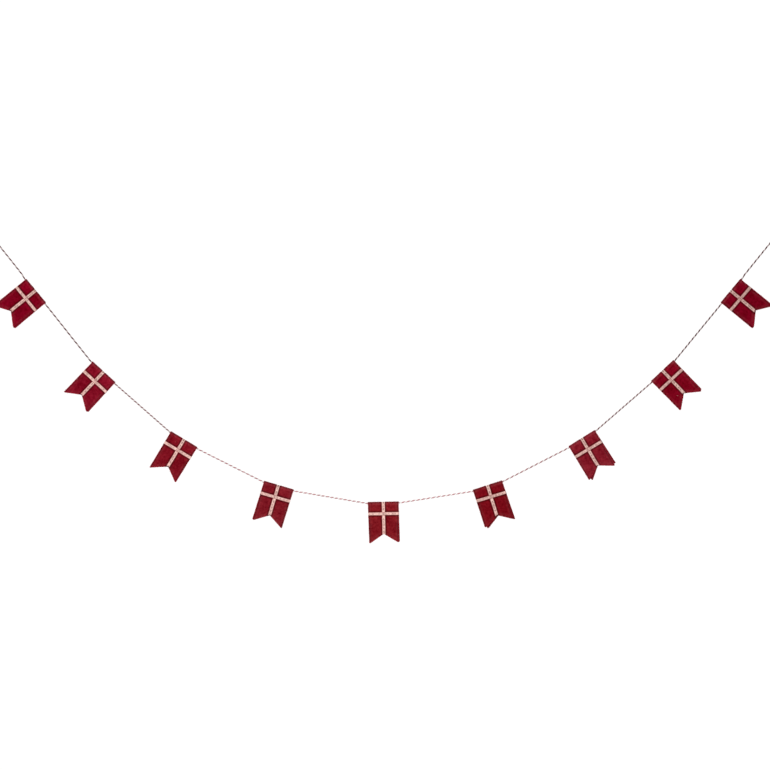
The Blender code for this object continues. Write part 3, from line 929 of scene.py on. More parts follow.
@dataclass
class TiedEnd:
    """One tied end of the twine: a loop for a nail, and the wrapped knot below it with its loose tail."""

    name: str
    hang: tuple[float, float, float]  # inside top of the loop
    foot: tuple[float, float]  # where the twine's route ends, in metres
    tail_way: float  # -1 where the tail points left, 1 where it points right
    finishes: Finishes
    maker: TwineMaker = TwineMaker(step=0.4)
    width: float = 9.0  # across the loop
    start: float = math.radians(37)  # place on the teardrop where the loop's feet meet the knot
    leg: float = 0.9  # half the distance between the two legs in the knot
    pitch: float = 8.5  # of the twine's lay
    dye: float = 1.0
    turns: float = 4.2  # of the wraps
    climb: float = 1.04  # how far the wraps climb in a turn, in thicknesses of the twine
    snug: float = 0.45  # share of its full size at which the first wrap starts
    settle: float = 0.2  # share of a turn in which the wraps reach their full size
    wrap_across: float = 2.4  # from the knot's middle to the middle of a wrap, in the plane of the loop
    wrap_deep: float = 1.7  # the same, square to that plane
    tail: tuple[float, float, float] = (5.0, -0.8, -10.0)  # its end, from the last wrap, if it points right
    spring: float = 5.0  # how strongly the tail first runs on in the last wrap's direction
    sag: float = 1.5  # power of its fall, over 1 so that it droops more and more
    loop_steps: int = 60
    turn_steps: int = 30
    tail_steps: int = 14
    frayed: float = 4.0  # length of the tail's end where the plies part
    parted: float = 0.7  # how much further apart they lie at its very end

    def __post_init__(self) -> None:
        """Work out the directions and the places of the knot."""
        top = Vector(self.hang)
        foot = Vector((self.foot[0], 0.0, self.foot[1])) / MM
        self.along = (top - foot).normalized()
        self.aside = Vector((self.along.z, 0.0, -self.along.x))
        self.outward = Vector((0.0, -1.0, 0.0))
        self.middle = foot + self.along * (END_GAP + KNOT_LENGTH / 2)
        self.top = self.middle + self.along * (KNOT_LENGTH / 2 + END_GAP + FOOT_DIP)

    def teardrop(self, angle: float) -> tuple[float, float]:
        """Return (across, up) on a teardrop that is 1 high and 1 wide, with its point at angle 0."""
        widest = math.sin(2 * math.pi / 3) * math.sin(math.pi / 3)
        return math.sin(angle) * math.sin(angle / 2) / (2 * widest), (1 - math.cos(angle)) / 2

    def loop_line(self) -> np.ndarray:
        """Draw the loop.

        Returns:
            Points from inside the knot, round the nail's place and back.
        """
        length = (Vector(self.hang) - self.top).length + TWINE / 2
        low = self.teardrop(self.start)[1]
        points = [self.middle + self.aside * self.leg]
        for step in range(self.loop_steps + 1):
            angle = self.start + (2 * math.pi - 2 * self.start) * step / self.loop_steps
            across, rise = self.teardrop(angle)
            reach = math.copysign(max(abs(across) * self.width, self.leg), across)
            points.append(self.top + self.along * length * (rise - low) / (1 - low) + self.aside * reach)
        points.append(self.middle - self.aside * self.leg)
        return self.maker.line(np.array([tuple(point) for point in points]))

    def knot_line(self) -> np.ndarray:
        """Draw the knot: wraps that climb round both legs, and the tail that hangs from the last.

        Returns:
            Points along it, from the first wrap to the tail's end.
        """
        points = []
        for step in range(int(self.turns * self.turn_steps) + 1):
            turn = 2 * math.pi * step / self.turn_steps
            tight = self.snug + (1 - self.snug) * min(step / (self.turn_steps * self.settle), 1.0)
            rise = TWINE * self.climb * (turn / (2 * math.pi) - self.turns / 2)
            points.append(self.middle + self.along * rise
                          - self.aside * self.tail_way * math.cos(turn) * self.wrap_across * tight
                          + self.outward * math.sin(turn) * self.wrap_deep * tight)
        last = points[-1]
        way = (points[-1] - points[-2]).normalized()
        droop = Vector((self.tail_way * self.tail[0], *self.tail[1:]))
        for step in range(1, self.tail_steps + 1):
            share = step / self.tail_steps
            points.append(last + way * self.spring * share * (1 - share) + droop * share**self.sag)
        return self.maker.line(np.array([tuple(point) for point in points]))

    def build(self) -> list[bpy.types.Object]:
        """Make the loop and the knot.

        Returns:
            Both pieces.
        """
        materials = [self.finishes.red_ply, self.finishes.natural_ply]
        made = []
        for part, line in (("loop", self.loop_line()), ("knot", self.knot_line())):
            run = np.arange(len(line)) * self.maker.step
            loose = 1.0 + self.parted * ease(run[-1] - self.frayed, run[-1], run) if part == "knot" else 1.0
            shape = Shape()
            self.maker.lay(shape, line, 2 * math.pi * run / self.pitch, self.dye, loose)
            piece = shape.finish(f"{self.name}_laid_{part}", "twine", materials)
            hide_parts(f"{self.name}_{part}")
            made.append(piece)
        return made


@dataclass(frozen=True)
class Tape:
    """Twill tape: its thickness with ribs, selvedges and the dips where stitches pull it in."""

    width: float  # between its selvedges as they are pulled in
    pull: float  # how deep a stitch pulls the tape in
    tone: float  # how bright it is
    rib: float = 0.055  # height of the twill ribs
    rib_pitch: float = 1.7  # along the tape, from rib to rib
    rib_slant: float = 1.0  # how far a rib runs along the tape, for each millimetre across it
    selvedge: float = 0.26  # how much thinner the tape is at its edges
    hole: float = 0.75  # how far from a hole, along the tape, it still dips
    groove: float = 0.9  # how far across the tape the dips reach
    shallow: float = 0.3  # share of a hole's dip that runs on between the holes
    # painted shade between the twill ribs, lifted toward the full colour on each rib
    shade_between_ribs: float = 0.34  # share of its full colour between the ribs
    light_on_ribs: float = 0.50  # how much the share rises on a rib
    rim: float = 0.10  # how far its rounded selvedges stand out
    columns: int = 12

    def offsets(self) -> np.ndarray:
        """Return the places across the tape where it has points."""
        return np.linspace(-self.width / 2, self.width / 2, self.columns + 1)

    def ribs(self, run: np.ndarray, offset: np.ndarray) -> np.ndarray:
        """Return the share of a rib's height at these places, from 0 between ribs to 1 on them."""
        return 0.5 + 0.5 * np.cos(2 * math.pi * (run + offset * self.rib_slant) / self.rib_pitch)

    def thickness(self, run: np.ndarray, offset: np.ndarray, holes: np.ndarray) -> np.ndarray:
        """Find how thick the tape is.

        Args:
            run: places along the tape.
            offset: places across it.
            holes: places along the tape where a stitch goes down.

        Returns:
            The thickness at each place.
        """
        edge = np.abs(offset) / (self.width / 2)
        near = np.min(np.abs(run[..., None] - holes), axis=-1)
        dip = np.exp(-((near / self.hole) ** 2)) * (1 - self.shallow) + self.shallow
        dip = dip * np.exp(-((offset / self.groove) ** 2))
        raised = self.rib * self.ribs(run, offset) * (1 - edge**6)
        return TAPE - self.selvedge * edge**4 + raised - self.pull * dip


@dataclass(frozen=True)
class Stitch:
    """One running stitch that shows: its middle along the tape, and its length."""

    middle: float
    length: float

    def ends(self) -> list[float]:
        """Return the two places where its thread goes down."""
        return [self.middle - self.length / 2, self.middle + self.length / 2]


@dataclass(frozen=True)
class StitchRow:
    """Running stitches along the middle of a tape, sewn by hand and so a little uneven."""

    shortest: float
    longest: float
    pitch: float = 5.45
    waver: float = 0.35  # how far a stitch may lie from its even place

    def between(self, start: float, end: float, dice: np.random.Generator) -> list[Stitch]:
        """List the stitches of one stretch.

        Args:
            start: middle of the first stitch along the tape.
            end: place that no stitch passes.
            dice: random numbers for their unevenness.

        Returns:
            The stitches.
        """
        count = int((end - start) / self.pitch) + 1
        middles = start + self.pitch * np.arange(count) + dice.uniform(-self.waver, self.waver, count)
        lengths = dice.uniform(self.shortest, self.longest, count)
        stitches = [Stitch(middle, length) for middle, length in zip(middles, lengths)]
        return [stitch for stitch in stitches if stitch.ends()[1] < end]


class Strand(Enum):
    """The thread of a stitch, as its place in the stitches' list of materials."""

    # painted shade: near-black thread standing in for the shadow in the upright tape's deep stitch dents
    DARK = 0
    SUNKEN = 1


@dataclass
class Thread:
    """The stitching thread, modelled once as a low arch of one stitch and copied along the tapes."""

    radius: float = 0.27
    span: float = 2.4  # length of the arch
    rise: float = 0.34  # height of the arch's middle line
    segments: int = 20  # round the whole ring
    sides: int = 7

    def __post_init__(self) -> None:
        """Model the arch from half a ring."""
        bpy.ops.object.select_all(action="DESELECT")
        bpy.ops.mesh.primitive_torus_add(
            major_segments=self.segments, minor_segments=self.sides, major_radius=self.span / 2 * MM,
            minor_radius=self.radius * MM, rotation=(math.pi / 2, 0.0, 0.0))
        arch = bpy.context.object
        bpy.ops.object.transform_apply(location=True, rotation=True, scale=True)
        bpy.ops.object.mode_set(mode="EDIT")
        bpy.ops.mesh.select_all(action="SELECT")
        middle, upwards = (0.0, 0.0, 0.0), (0.0, 0.0, 1.0)
        bpy.ops.mesh.bisect(plane_co=middle, plane_no=upwards, clear_inner=True, use_fill=True)
        bpy.ops.mesh.select_all(action="SELECT")
        bpy.ops.transform.resize(value=(1.0, 1.0, self.rise / (self.span / 2)))
        bpy.ops.object.mode_set(mode="OBJECT")
        self.points = np.array([tuple(vertex.co) for vertex in arch.data.vertices]) / MM
        self.faces = [tuple(face.vertices) for face in arch.data.polygons]
        bpy.data.objects.remove(arch)

    def sew(self, shape: Shape, middle: np.ndarray, along: np.ndarray, out: np.ndarray, length: float,
            strand: Strand) -> None:
        """Add one stitch to a shape.

        Args:
            shape: the shape that takes it.
            middle: point on the tape under the stitch's middle.
            along: direction of the tape.
            out: direction away from it.
            length: how long the stitch is.
            strand: its thread.
        """
        across, aside, height = self.points[:, :1], self.points[:, 1:2], self.points[:, 2:]
        stretch = length / self.span
        points = middle + across * stretch * along + aside * np.cross(out, along) + height * out
        lay = np.concatenate([across * stretch, aside / self.radius, height / self.radius], axis=1)
        shape.add(points, self.faces, strand.value, lay=lay, dye=np.zeros(len(points)))


@dataclass(frozen=True)
class Waver:
    """The unevenness of an edge or a tape that was cut or laid by hand: two waves along its run."""

    phase: int  # place of its first phase among the flag's own
    depth: float
    shift: float  # how far the waves move on for each radian round the fold
    long: float = 4.3
    short: float = 1.7
    minor: float = 0.5  # depth of the short wave, as a share of the long one's


@dataclass(frozen=True)
class Pressing:
    """How the tapes and the felt under them press each other. Distances run outwards from a tape's edge."""

    pressed: float = 0.16  # how deep the felt is pressed in under a tape
    dent: tuple[float, float] = (-0.8, 0.3)  # between them the felt rises out of the dent
    pillow: float = 0.10  # how far the felt stands out beside a tape
    ridge: tuple[float, float, float] = (0.3, 1.8, 7.0)  # where that starts, is highest and ends
    puff: float = 0.22  # how far the felt swells out along the top of the fold
    sunk: float = 0.45  # how far the upright tape is pressed into it there
    brim: tuple[float, float] = (-0.8, 0.8)  # between them the felt rises out from under it there
    thin: float = 0.25  # share of its thickness that the tape loses there
    step: tuple[float, float] = (0.1, 2.4)  # between them the crossbar comes down off the upright tape


@dataclass(frozen=True)
class Sewing:
    """Where the stitches lie on the tapes."""

    upright_row: StitchRow = StitchRow(shortest=2.4, longest=3.4)
    bar_row: StitchRow = StitchRow(shortest=1.4, longest=2.1)
    first: float = 3.6  # from the top of the fold, along the upright tape
    last: float = 1.8  # from the end of the upright tape
    doubled: float = 0.26  # how far off the tape's middle the two threads of its first stitch lie
    covered: float = 0.6  # how far beside the crossbar it still hides a stitch of the upright tape
    inset: tuple[float, float] = (2.2, 0.8)  # from the crossbar's left and right ends
    sunk: float = 0.55  # share of the tape's dip at which a thread lies
    lean: float = 0.16  # how far a stitch may turn off the tape's way
    near: float = 0.3  # distance to the points that give a stitch its way


class Wool(Enum):
    """Loose wool, as its place in the fibres' list of materials."""

    RED = 0
    LIGHT = 1


@dataclass(frozen=True)
class Fuzz:
    """The short loose fibres at the cut edges and the fold, and the light fluff."""

    spacing: float = 0.24
    layer: float = 0.45  # how far off the middle of the felt a fibre may start
    stray: float = 0.45  # how unevenly the fibres point
    bend: float = 0.7  # how unevenly they go on from their bend
    shortest: float = 0.3
    longest: float = 1.1
    knee: float = 0.6  # share of its length where a fibre bends
    thick: tuple[float, float] = (0.035, 0.024)  # its radius at the root and the bend
    sides: int = 3
    tangle: int = 26  # fibres in one place of fluff
    spread: float = 0.55  # how far they lie from its middle
    loft: float = 0.25  # how high over the felt they may start
    rise: float = -0.3  # their way along Y, where less than 0 is out of the front


@dataclass
class FlagDresser:
    """Dresses one flag: its felt, its tapes, their stitches and the fibres at its cut edges."""

    number: int
    flag: Flag
    finishes: Finishes
    thread: Thread
    upright_tape: Tape = Tape(width=5.7, pull=0.28, tone=1.0)
    bar_tape: Tape = Tape(width=5.4, pull=0.10, tone=0.97)
    tail_waver: Waver = Waver(0, 0.06, 9.0)
    side_waver: Waver = Waver(2, 0.05, 8.0)
    upright_waver: Waver = Waver(4, 0.07, 7.0)
    bar_waver: Waver = Waver(6, 0.07, 3.0)
    coarse: Lumps = Lumps(0.05, 2.4)
    fine: Lumps = Lumps(0.03, 0.9)
    apart: float = 90.0  # between two flags in the noise that lumps them
    pressing: Pressing = Pressing()
    sewing: Sewing = Sewing()
    fuzz: Fuzz = Fuzz()
    panel_rows: int = 62
    fold_rows: int = 14
    columns: int = 50
    edge_columns: tuple[float, ...] = (-0.985, -0.968, 0.968, 0.985)  # further ones near the cut side edges
    tape_rows: int = 139  # of the upright tape on each panel
    tape_fold_rows: int = 23
    bar_rows: int = 149
    felt_out: float = FELT / 2
    rim: float = 0.16  # how far the felt's rounded edges stand out
    tip_reach: float = 1.5  # how far in a tip is rounded off, for each millimetre that it loses
    sharpest: float = 0.01  # the least share of half the edge over which a tip is rounded off
    tail_lean: float = 0.82  # cosine of the slope of the swallow-tail edge
    edge_only: int = 9  # power that keeps the side edges' unevenness near them
    overhang: float = 0.1  # how far the crossbar passes the felt's side edges
    course: float = 50.0  # length over which the upright tape wavers on a panel

    def __post_init__(self) -> None:
        """Set the flag in its place on the twine, and seed its unevenness."""
        mouth = FIRST_MOUTH + 2 * (self.number - 1)
        start, end = (Vector((x, 0.0, z)) / MM for x, z in ROUTE[mouth:mouth + 2])
        along = end - start
        turn = Euler((math.radians(self.flag.swing), math.atan2(-along.z, along.x), 0.0))
        self.placement = np.array(Matrix.Translation((start + end) / 2) @ turn.to_matrix().to_4x4())
        self.dice = np.random.default_rng(self.number)
        self.phases = self.dice.uniform(0.0, 2 * math.pi, 8)

    def placed(self, points: np.ndarray) -> np.ndarray:
        """Return points of the flag's own frame in the shared one."""
        return points @ self.placement[:3, :3].T + self.placement[:3, 3]

    def wavering(self, waver: Waver, run: np.ndarray, turn: np.ndarray | float) -> np.ndarray:
        """Find how far a hand-made line strays from its even course.

        Args:
            waver: its unevenness.
            run: places along it.
            turn: angle round the twine.

        Returns:
            How far it strays at each place.
        """
        run = run + turn * waver.shift
        first, second = self.phases[waver.phase:waver.phase + 2]
        minor = waver.minor * np.sin(run / waver.short + second)
        return waver.depth * (np.sin(run / waver.long + first) + minor)

    def stations(self, panel_rows: int, fold_rows: int) -> tuple[np.ndarray, np.ndarray]:
        """List the rows of a piece that goes up the front panel, over the fold and down the back.

        Args:
            panel_rows: how many steps it takes on a panel.
            fold_rows: how many it takes over the fold.

        Returns:
            The turn of each row, and its share of the panel's depth.
        """
        panel = np.linspace(1.0, 0.0, panel_rows + 1)
        fold = np.linspace(0.0, math.pi, fold_rows + 1)[1:-1]
        turn = np.concatenate([np.zeros_like(panel), fold, np.full_like(panel, math.pi)])
        share = np.concatenate([panel, np.zeros_like(fold), panel[::-1]])
        return turn[:, None], share[:, None]

    def cut_edge(self, turn: np.ndarray, column: np.ndarray) -> tuple[np.ndarray, np.ndarray]:
        """Find the swallow-tail edge with its rounded tips.

        Args:
            turn: angle round the twine of each row.
            column: place along the edge, from -1 at the left tip to 1 at the right one.

        Returns:
            How far across and how far down the edge lies.
        """
        left, notch, right = self.flag.corners(turn)
        near_left = column < 0
        tip = np.where(near_left[..., None], left, right)
        blunt = np.where(near_left, *self.flag.blunt)
        edge = notch + (tip - notch) * np.abs(column)[..., None]
        rounding = np.maximum(blunt * self.tip_reach / HALF, self.sharpest)
        share = np.clip((np.abs(column) - 1 + rounding) / rounding, 0.0, 1.0)
        cut = self.wavering(self.tail_waver, column * HALF, turn)
        return edge[..., 0], edge[..., 1] - blunt * share**2 + cut

    def felt(self) -> bpy.types.Object:
        """Make the folded felt.

        Returns:
            The felt.
        """
        turn, share = self.stations(self.panel_rows, self.fold_rows)
        column = np.linspace(-1.0, 1.0, self.columns + 1)
        column = np.unique(np.concatenate([column, self.edge_columns]))[None]
        turn, share, column = np.broadcast_arrays(turn, share, column)
        across, depth = self.cut_edge(turn, column)
        across = HALF * column + (across - HALF * column) * share
        down = depth * share
        uneven = self.wavering(self.side_waver, down, turn)
        across = across + uneven * np.abs(column) ** self.edge_only * np.sign(column)
        distance, pressed = self.tape_marks(turn, across, down)
        outer = self.flag.cloth(turn, across, down, self.felt_out + pressed)
        inner = self.flag.cloth(turn, across, down, -self.felt_out)
        lumps = self.coarse.at(outer + self.number * self.apart) + self.fine.at(outer)
        outer = outer + unit(outer - inner) * lumps[..., None]
        points, faces, owner = closed_sheet(outer, inner, self.rim)
        # distances that the felt's material turns into painted light and shade at its edges, beside the tapes
        # and at the fold
        side, tail = (1 - np.abs(column)) * HALF, (1 - share) * depth * self.tail_lean
        marks = np.stack([side, tail, distance], axis=-1)
        fold = np.abs(turn - math.pi / 2) * (FOLD_RADIUS + self.felt_out) + down
        shape = Shape()
        shape.add(self.placed(points), faces, marks=marks.reshape(-1, 3)[owner], fold=fold.ravel()[owner],
                  dye=np.tile(self.flag.dye, (len(points), 1)))
        piece = shape.finish(f"felt_flag_{self.number}", "felt", [self.finishes.felt])
        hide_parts(f"felt_{self.number}")
        middle = (outer + inner) / 2
        self.edges = [middle[0], middle[-1], middle[:, 0], middle[:, -1]]
        self.crown = outer[self.panel_rows + self.fold_rows // 2]
        return piece

    def tape_marks(self, turn: np.ndarray, across: np.ndarray,
                   down: np.ndarray) -> tuple[np.ndarray, np.ndarray]:
        """Find how the tapes mark the felt under and beside them.

        Args:
            turn: angle round the twine.
            across: place along the fold.
            down: depth below the twine.

        Returns:
            How far each point lies from the nearest tape's edge, and how far the felt stands out there.
        """
        upright = np.abs(across - self.flag.upright_middle(turn, down)) - TAPE_WIDTH / 2
        bar = np.abs(down - self.flag.bar_middle(across)) - TAPE_WIDTH / 2
        distance = np.minimum(upright, bar)
        pressing = self.pressing
        start, top, end = pressing.ridge
        pillow = pressing.pillow * ease(start, top, distance) * (1 - ease(top, end, distance))
        dent = pressing.pressed * (1 - ease(*pressing.dent, distance))
        swell = pressing.puff - (pressing.puff + pressing.sunk) * (1 - ease(*pressing.brim, upright))
        return np.maximum(distance, 0.0), pillow - dent + swell * np.sin(turn)

    def band(self, names: tuple[str, str], tape: Tape, grids: Grids, holes: list[float]) -> bpy.types.Object:
        """Make one tape from its places on the cloth.

        Args:
            names: the piece's name, and the node that it stands for, both without the flag's number.
            tape: what it is cut from.
            grids: turn, across, down, run along the tape, offset across it, and seat, in rows and columns.
            holes: places along the tape where a stitch goes down.

        Returns:
            The tape.
        """
        turn, across, down, run, offset, seat = grids
        thickness = tape.thickness(run, offset, np.array(holes)) * (1 - self.pressing.thin * np.sin(turn))
        outer = self.flag.cloth(turn, across, down, seat + thickness)
        inner = self.flag.cloth(turn, across, down, seat)
        points, faces, owner = closed_sheet(outer, inner, tape.rim)
        weave = np.stack([run, offset, tape.width / 2 - np.abs(offset)], axis=-1).reshape(-1, 3)
        # painted shade between the ribs, as the share of the tape's full colour
        rib = tape.shade_between_ribs + tape.light_on_ribs * tape.ribs(run, offset)
        tone = np.full(len(points), self.flag.paleness * tape.tone)
        shape = Shape()
        shape.add(self.placed(points), faces, weave=weave[owner], rib=rib.ravel()[owner], tone=tone)
        name, node = (f"{name}_{self.number}" for name in names)
        piece = shape.finish(name, "tape", [self.finishes.tape])
        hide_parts(node)
        return piece

    def fold_reach(self) -> float:
        """Return how far the middle of the upright tape lies from the twine's centre, on the fold."""
        return FOLD_RADIUS + self.felt_out + TAPE / 2

    def upright_seat(self, turn: np.ndarray) -> np.ndarray:
        """Return how far the underside of the upright tape lies from the middle of the felt."""
        return self.felt_out + SEAT - self.pressing.sunk * np.sin(turn)

    def bar_seat(self, turn: np.ndarray, across: np.ndarray, down: np.ndarray) -> np.ndarray:
        """Return the same for a crossbar, which climbs over the upright tape."""
        near = np.abs(across - self.flag.upright_middle(turn, down)) - TAPE_WIDTH / 2
        return self.felt_out + SEAT + (TAPE + SEAT) * (1 - ease(*self.pressing.step, near))

    def upright_grids(self) -> Grids:
        """Place the upright tape, from the front notch over the fold to the back one.

        Returns:
            Its turn, across, down, run, offset and seat, in rows and columns.
        """
        turn, share = self.stations(self.tape_rows, self.tape_fold_rows)
        turn, share, offset = np.broadcast_arrays(turn, share, self.upright_tape.offsets()[None])
        middle = self.flag.upright_middle(turn, self.flag.notch[1] * share)
        across = middle + self.wavering(self.upright_waver, share * self.course, turn) + offset
        down = (self.flag.edge_depth(turn, across) - self.flag.foot) * share
        run = (turn - math.pi / 2) * self.fold_reach() + np.where(turn > math.pi / 2, down, -down)
        return turn, across, down, run, -offset, self.upright_seat(turn)

    def bar_grids(self, panel: Panel) -> Grids:
        """Place the crossbar on one panel, from its left end to its right end.

        Args:
            panel: the panel.

        Returns:
            Its turn, across, down, run, offset and seat, in rows and columns.
        """
        turn = np.array(panel.value)
        share = np.linspace(0.0, 1.0, self.bar_rows + 1)[:, None]
        share, offset = np.broadcast_arrays(share, self.bar_tape.offsets()[None])
        left = self.flag.side_edge(turn, -1, self.flag.bar[0] + offset) - self.overhang
        right = self.flag.side_edge(turn, 1, self.flag.bar[1] + offset) + self.overhang
        across = left + (right - left) * share
        down = self.flag.bar_middle(across) + offset + self.wavering(self.bar_waver, across, panel.value)
        side = 1.0 if panel is Panel.FRONT else -1.0
        seat = self.bar_seat(turn, across, down)
        return np.full_like(across, panel.value), across, down, across, -offset * side, seat

    def upright_point(self, run: float, out: float) -> np.ndarray:
        """Find a point over the middle of the upright tape.

        Args:
            run: how far along the tape it lies, from the top of the fold.
            out: how high over the tape's underside.

        Returns:
            The point.
        """
        turn = np.array(math.pi / 2 + min(max(run / self.fold_reach(), -math.pi / 2), math.pi / 2))
        down = np.array(max(abs(run) - self.fold_reach() * math.pi / 2, 0.0))
        across = self.flag.upright_middle(turn, down)
        return self.placed(self.flag.cloth(turn, across, down, self.upright_seat(turn) + out))

    def bar_point(self, panel: Panel, across: float, out: float) -> np.ndarray:
        """Find a point over the middle of a crossbar.

        Args:
            panel: the panel that it lies on.
            across: place along the fold.
            out: how high over the tape's underside.

        Returns:
            The point.
        """
        turn, place = np.array(panel.value), np.array(across)
        down = self.flag.bar_middle(place)
        return self.placed(self.flag.cloth(turn, place, down, self.bar_seat(turn, place, down) + out))

    def crossing_point(self, panel: Panel, run: float, out: float) -> np.ndarray:
        """Find a point over a crossbar where it crosses the upright tape.

        Args:
            panel: the panel that it lies on.
            run: how far below the crossbar's middle it lies.
            out: how high over the crossbar's underside.

        Returns:
            The point.
        """
        turn = np.array(panel.value)
        across = self.flag.upright_middle(turn, np.array(self.flag.bar[0]))
        down = self.flag.bar_middle(across) + run
        return self.placed(self.flag.cloth(turn, across, down, self.bar_seat(turn, across, down) + out))

    def upright_band(self, shape: Shape) -> bpy.types.Object:
        """Make the upright tape and sew it on.

        Args:
            shape: the shape that takes its stitches.

        Returns:
            The tape.
        """
        holes = []
        sewing = self.sewing
        quarter = self.fold_reach() * math.pi / 2
        lowest = quarter + self.flag.notch[1] - self.flag.foot - sewing.last
        for side in (-1, 1):
            for number, stitch in enumerate(sewing.upright_row.between(sewing.first, lowest, self.dice)):
                stitch = Stitch(side * stitch.middle, stitch.length)
                holes += stitch.ends()
                down = abs(stitch.middle) - quarter
                if abs(down - self.flag.bar_middle(0.0)) < TAPE_WIDTH / 2 + sewing.covered:
                    continue
                for shift in (-sewing.doubled, sewing.doubled) if number == 0 else (0.0,):
                    # painted shade: the near-black thread stands in for the shadow in the stitch dents
                    self.sew(shape, self.upright_point, stitch, self.upright_tape, Strand.DARK, shift)
        return self.band(("upright_band", "upright_tape"), self.upright_tape, self.upright_grids(), holes)

    def crossbar(self, shape: Shape, panel: Panel) -> bpy.types.Object:
        """Make the crossbar of one panel and sew it on.

        Args:
            shape: the shape that takes its stitches.
            panel: the panel.

        Returns:
            The tape.
        """
        holes = []
        left, right = self.sewing.inset
        for stitch in self.sewing.bar_row.between(-HALF + left, HALF - right, self.dice):
            holes += stitch.ends()
            self.sew(shape, partial(self.bar_point, panel), stitch, self.bar_tape, Strand.SUNKEN)
        if self.flag.tack:
            tack = Stitch(0.0, self.flag.tack)
            self.sew(shape, partial(self.crossing_point, panel), tack, self.bar_tape, Strand.DARK)
        side = panel.name.lower()
        return self.band((f"{side}_band", f"{side}_crossbar"), self.bar_tape, self.bar_grids(panel), holes)

    def tapes(self) -> list[bpy.types.Object]:
        """Make the three tapes and their stitches.

        Returns:
            The upright tape, the two crossbars and the stitches.
        """
        shape = Shape()
        made = [self.upright_band(shape), *(self.crossbar(shape, panel) for panel in Panel)]
        strands = [self.finishes.thread, self.finishes.pale_thread]
        return [*made, shape.finish(f"stitches_{self.number}", "tape", strands)]

    def sew(self, shape: Shape, point: Callable[[float, float], np.ndarray], stitch: Stitch, tape: Tape,
            strand: Strand, shift: float = 0.0) -> None:
        """Sew one stitch on a tape.

        Args:
            shape: the shape that takes it.
            point: finds a point from its place along the tape and its height over the tape's underside.
            stitch: the stitch.
            tape: the tape.
            strand: its thread.
            shift: how far the stitch lies off the tape's middle.
        """
        out, near, lean = TAPE - tape.pull * self.sewing.sunk, self.sewing.near, self.sewing.lean
        middle = point(stitch.middle, out)
        along = unit(point(stitch.middle + near, out) - point(stitch.middle - near, out))
        outward = unit(point(stitch.middle, out + near) - middle)
        beside = np.cross(outward, along)
        along = unit(along + beside * self.dice.uniform(-lean, lean))
        self.thread.sew(shape, middle + beside * shift, along, outward, stitch.length, strand)

    def fibres(self) -> bpy.types.Object:
        """Make the short loose fibres that stand out from the cut edges and the fold, and the light fluff.

        Returns:
            The fibres, in one piece.
        """
        centre = np.mean([edge.mean(axis=0) for edge in self.edges], axis=0)
        bare = self.crown[np.abs(self.crown[:, 0] - self.flag.upright[0]) > TAPE_WIDTH / 2]
        halves = [bare[bare[:, 0] < self.flag.upright[0]], bare[bare[:, 0] > self.flag.upright[0]]]
        shape = Shape()
        for edge in [*self.edges, *halves]:
            run = run_along(edge)
            count = int(run[-1] / self.fuzz.spacing)
            places = np.sort(self.dice.uniform(0.0, run[-1], count))
            root = at_places(places, run, edge)
            root[:, 1] += self.dice.uniform(-self.fuzz.layer, self.fuzz.layer, count)
            out = unit(np.cross(at_places(places, run, np.gradient(edge, axis=0)), (0.0, 1.0, 0.0)))
            out = out * np.sign(np.sum(out * (root - centre), axis=1))[:, None]
            self.sprout(shape, root, out, Wool.RED)
        for place in self.flag.lint:
            self.fluff(shape, place)
        return shape.finish(f"loose_fibres_{self.number}", "felt", [self.finishes.fibre, self.finishes.fluff])

    def fluff(self, shape: Shape, place: tuple[float, float]) -> None:
        """Leave a small tangle of light fibres on the front panel.

        Args:
            shape: the shape that takes it.
            place: where it lies, across and down.
        """
        count = self.fuzz.tangle
        across, down = (middle + self.dice.normal(0.0, self.fuzz.spread, count) for middle in place)
        out = self.felt_out + self.dice.uniform(0.0, self.fuzz.loft, count)
        root = self.flag.cloth(np.zeros(count), across, down, out)
        turn = self.dice.uniform(0.0, 2 * math.pi, count)
        way = np.stack([np.cos(turn), np.full(count, self.fuzz.rise), np.sin(turn)], axis=-1)
        self.sprout(shape, root, way, Wool.LIGHT)

    def sprout(self, shape: Shape, root: np.ndarray, out: np.ndarray, wool: Wool) -> None:
        """Grow one bent, tapering fibre from each root.

        Args:
            shape: the shape that takes them.
            root: where each fibre starts.
            out: the direction away from the felt there.
            wool: what they are of.
        """
        fuzz, count = self.fuzz, len(root)
        first = unit(out + self.dice.normal(0.0, fuzz.stray, (count, 3)))[:, None]
        bent = unit(first + self.dice.normal(0.0, fuzz.bend, (count, 1, 3)))
        length = self.dice.uniform(fuzz.shortest, fuzz.longest, count)[:, None, None]
        side = unit(np.cross(first, bent))
        deep = np.cross(first, side)
        share = np.array((0.0, fuzz.knee, 1.0))[:, None]
        middle = root[:, None] + length * (first * share + bent * share**2 * fuzz.knee)
        angle = np.arange(fuzz.sides)[:, None] * 2 * math.pi / fuzz.sides
        ring = side * np.cos(angle) + deep * np.sin(angle)
        rings = [middle[:, place, None] + ring * radius for place, radius in enumerate(fuzz.thick)]
        points = np.concatenate([*rings, middle[:, 2:]], axis=1)
        fibre = [(2, 1, 0), (0, 1, 4, 3), (1, 2, 5, 4), (2, 0, 3, 5), (3, 4, 6), (4, 5, 6), (5, 3, 6)]
        starts = points.shape[1] * np.arange(count)
        faces = [tuple(corner + start for corner in face) for start in starts.tolist() for face in fibre]
        shape.add(self.placed(points.reshape(-1, 3)), faces, wool.value)

    def build(self, twine: bpy.types.Object) -> None:
        """Make the whole flag.

        Args:
            twine: what it hangs on; not used.
        """
        felt = self.felt()
        sewn = [*self.tapes(), self.fibres()]


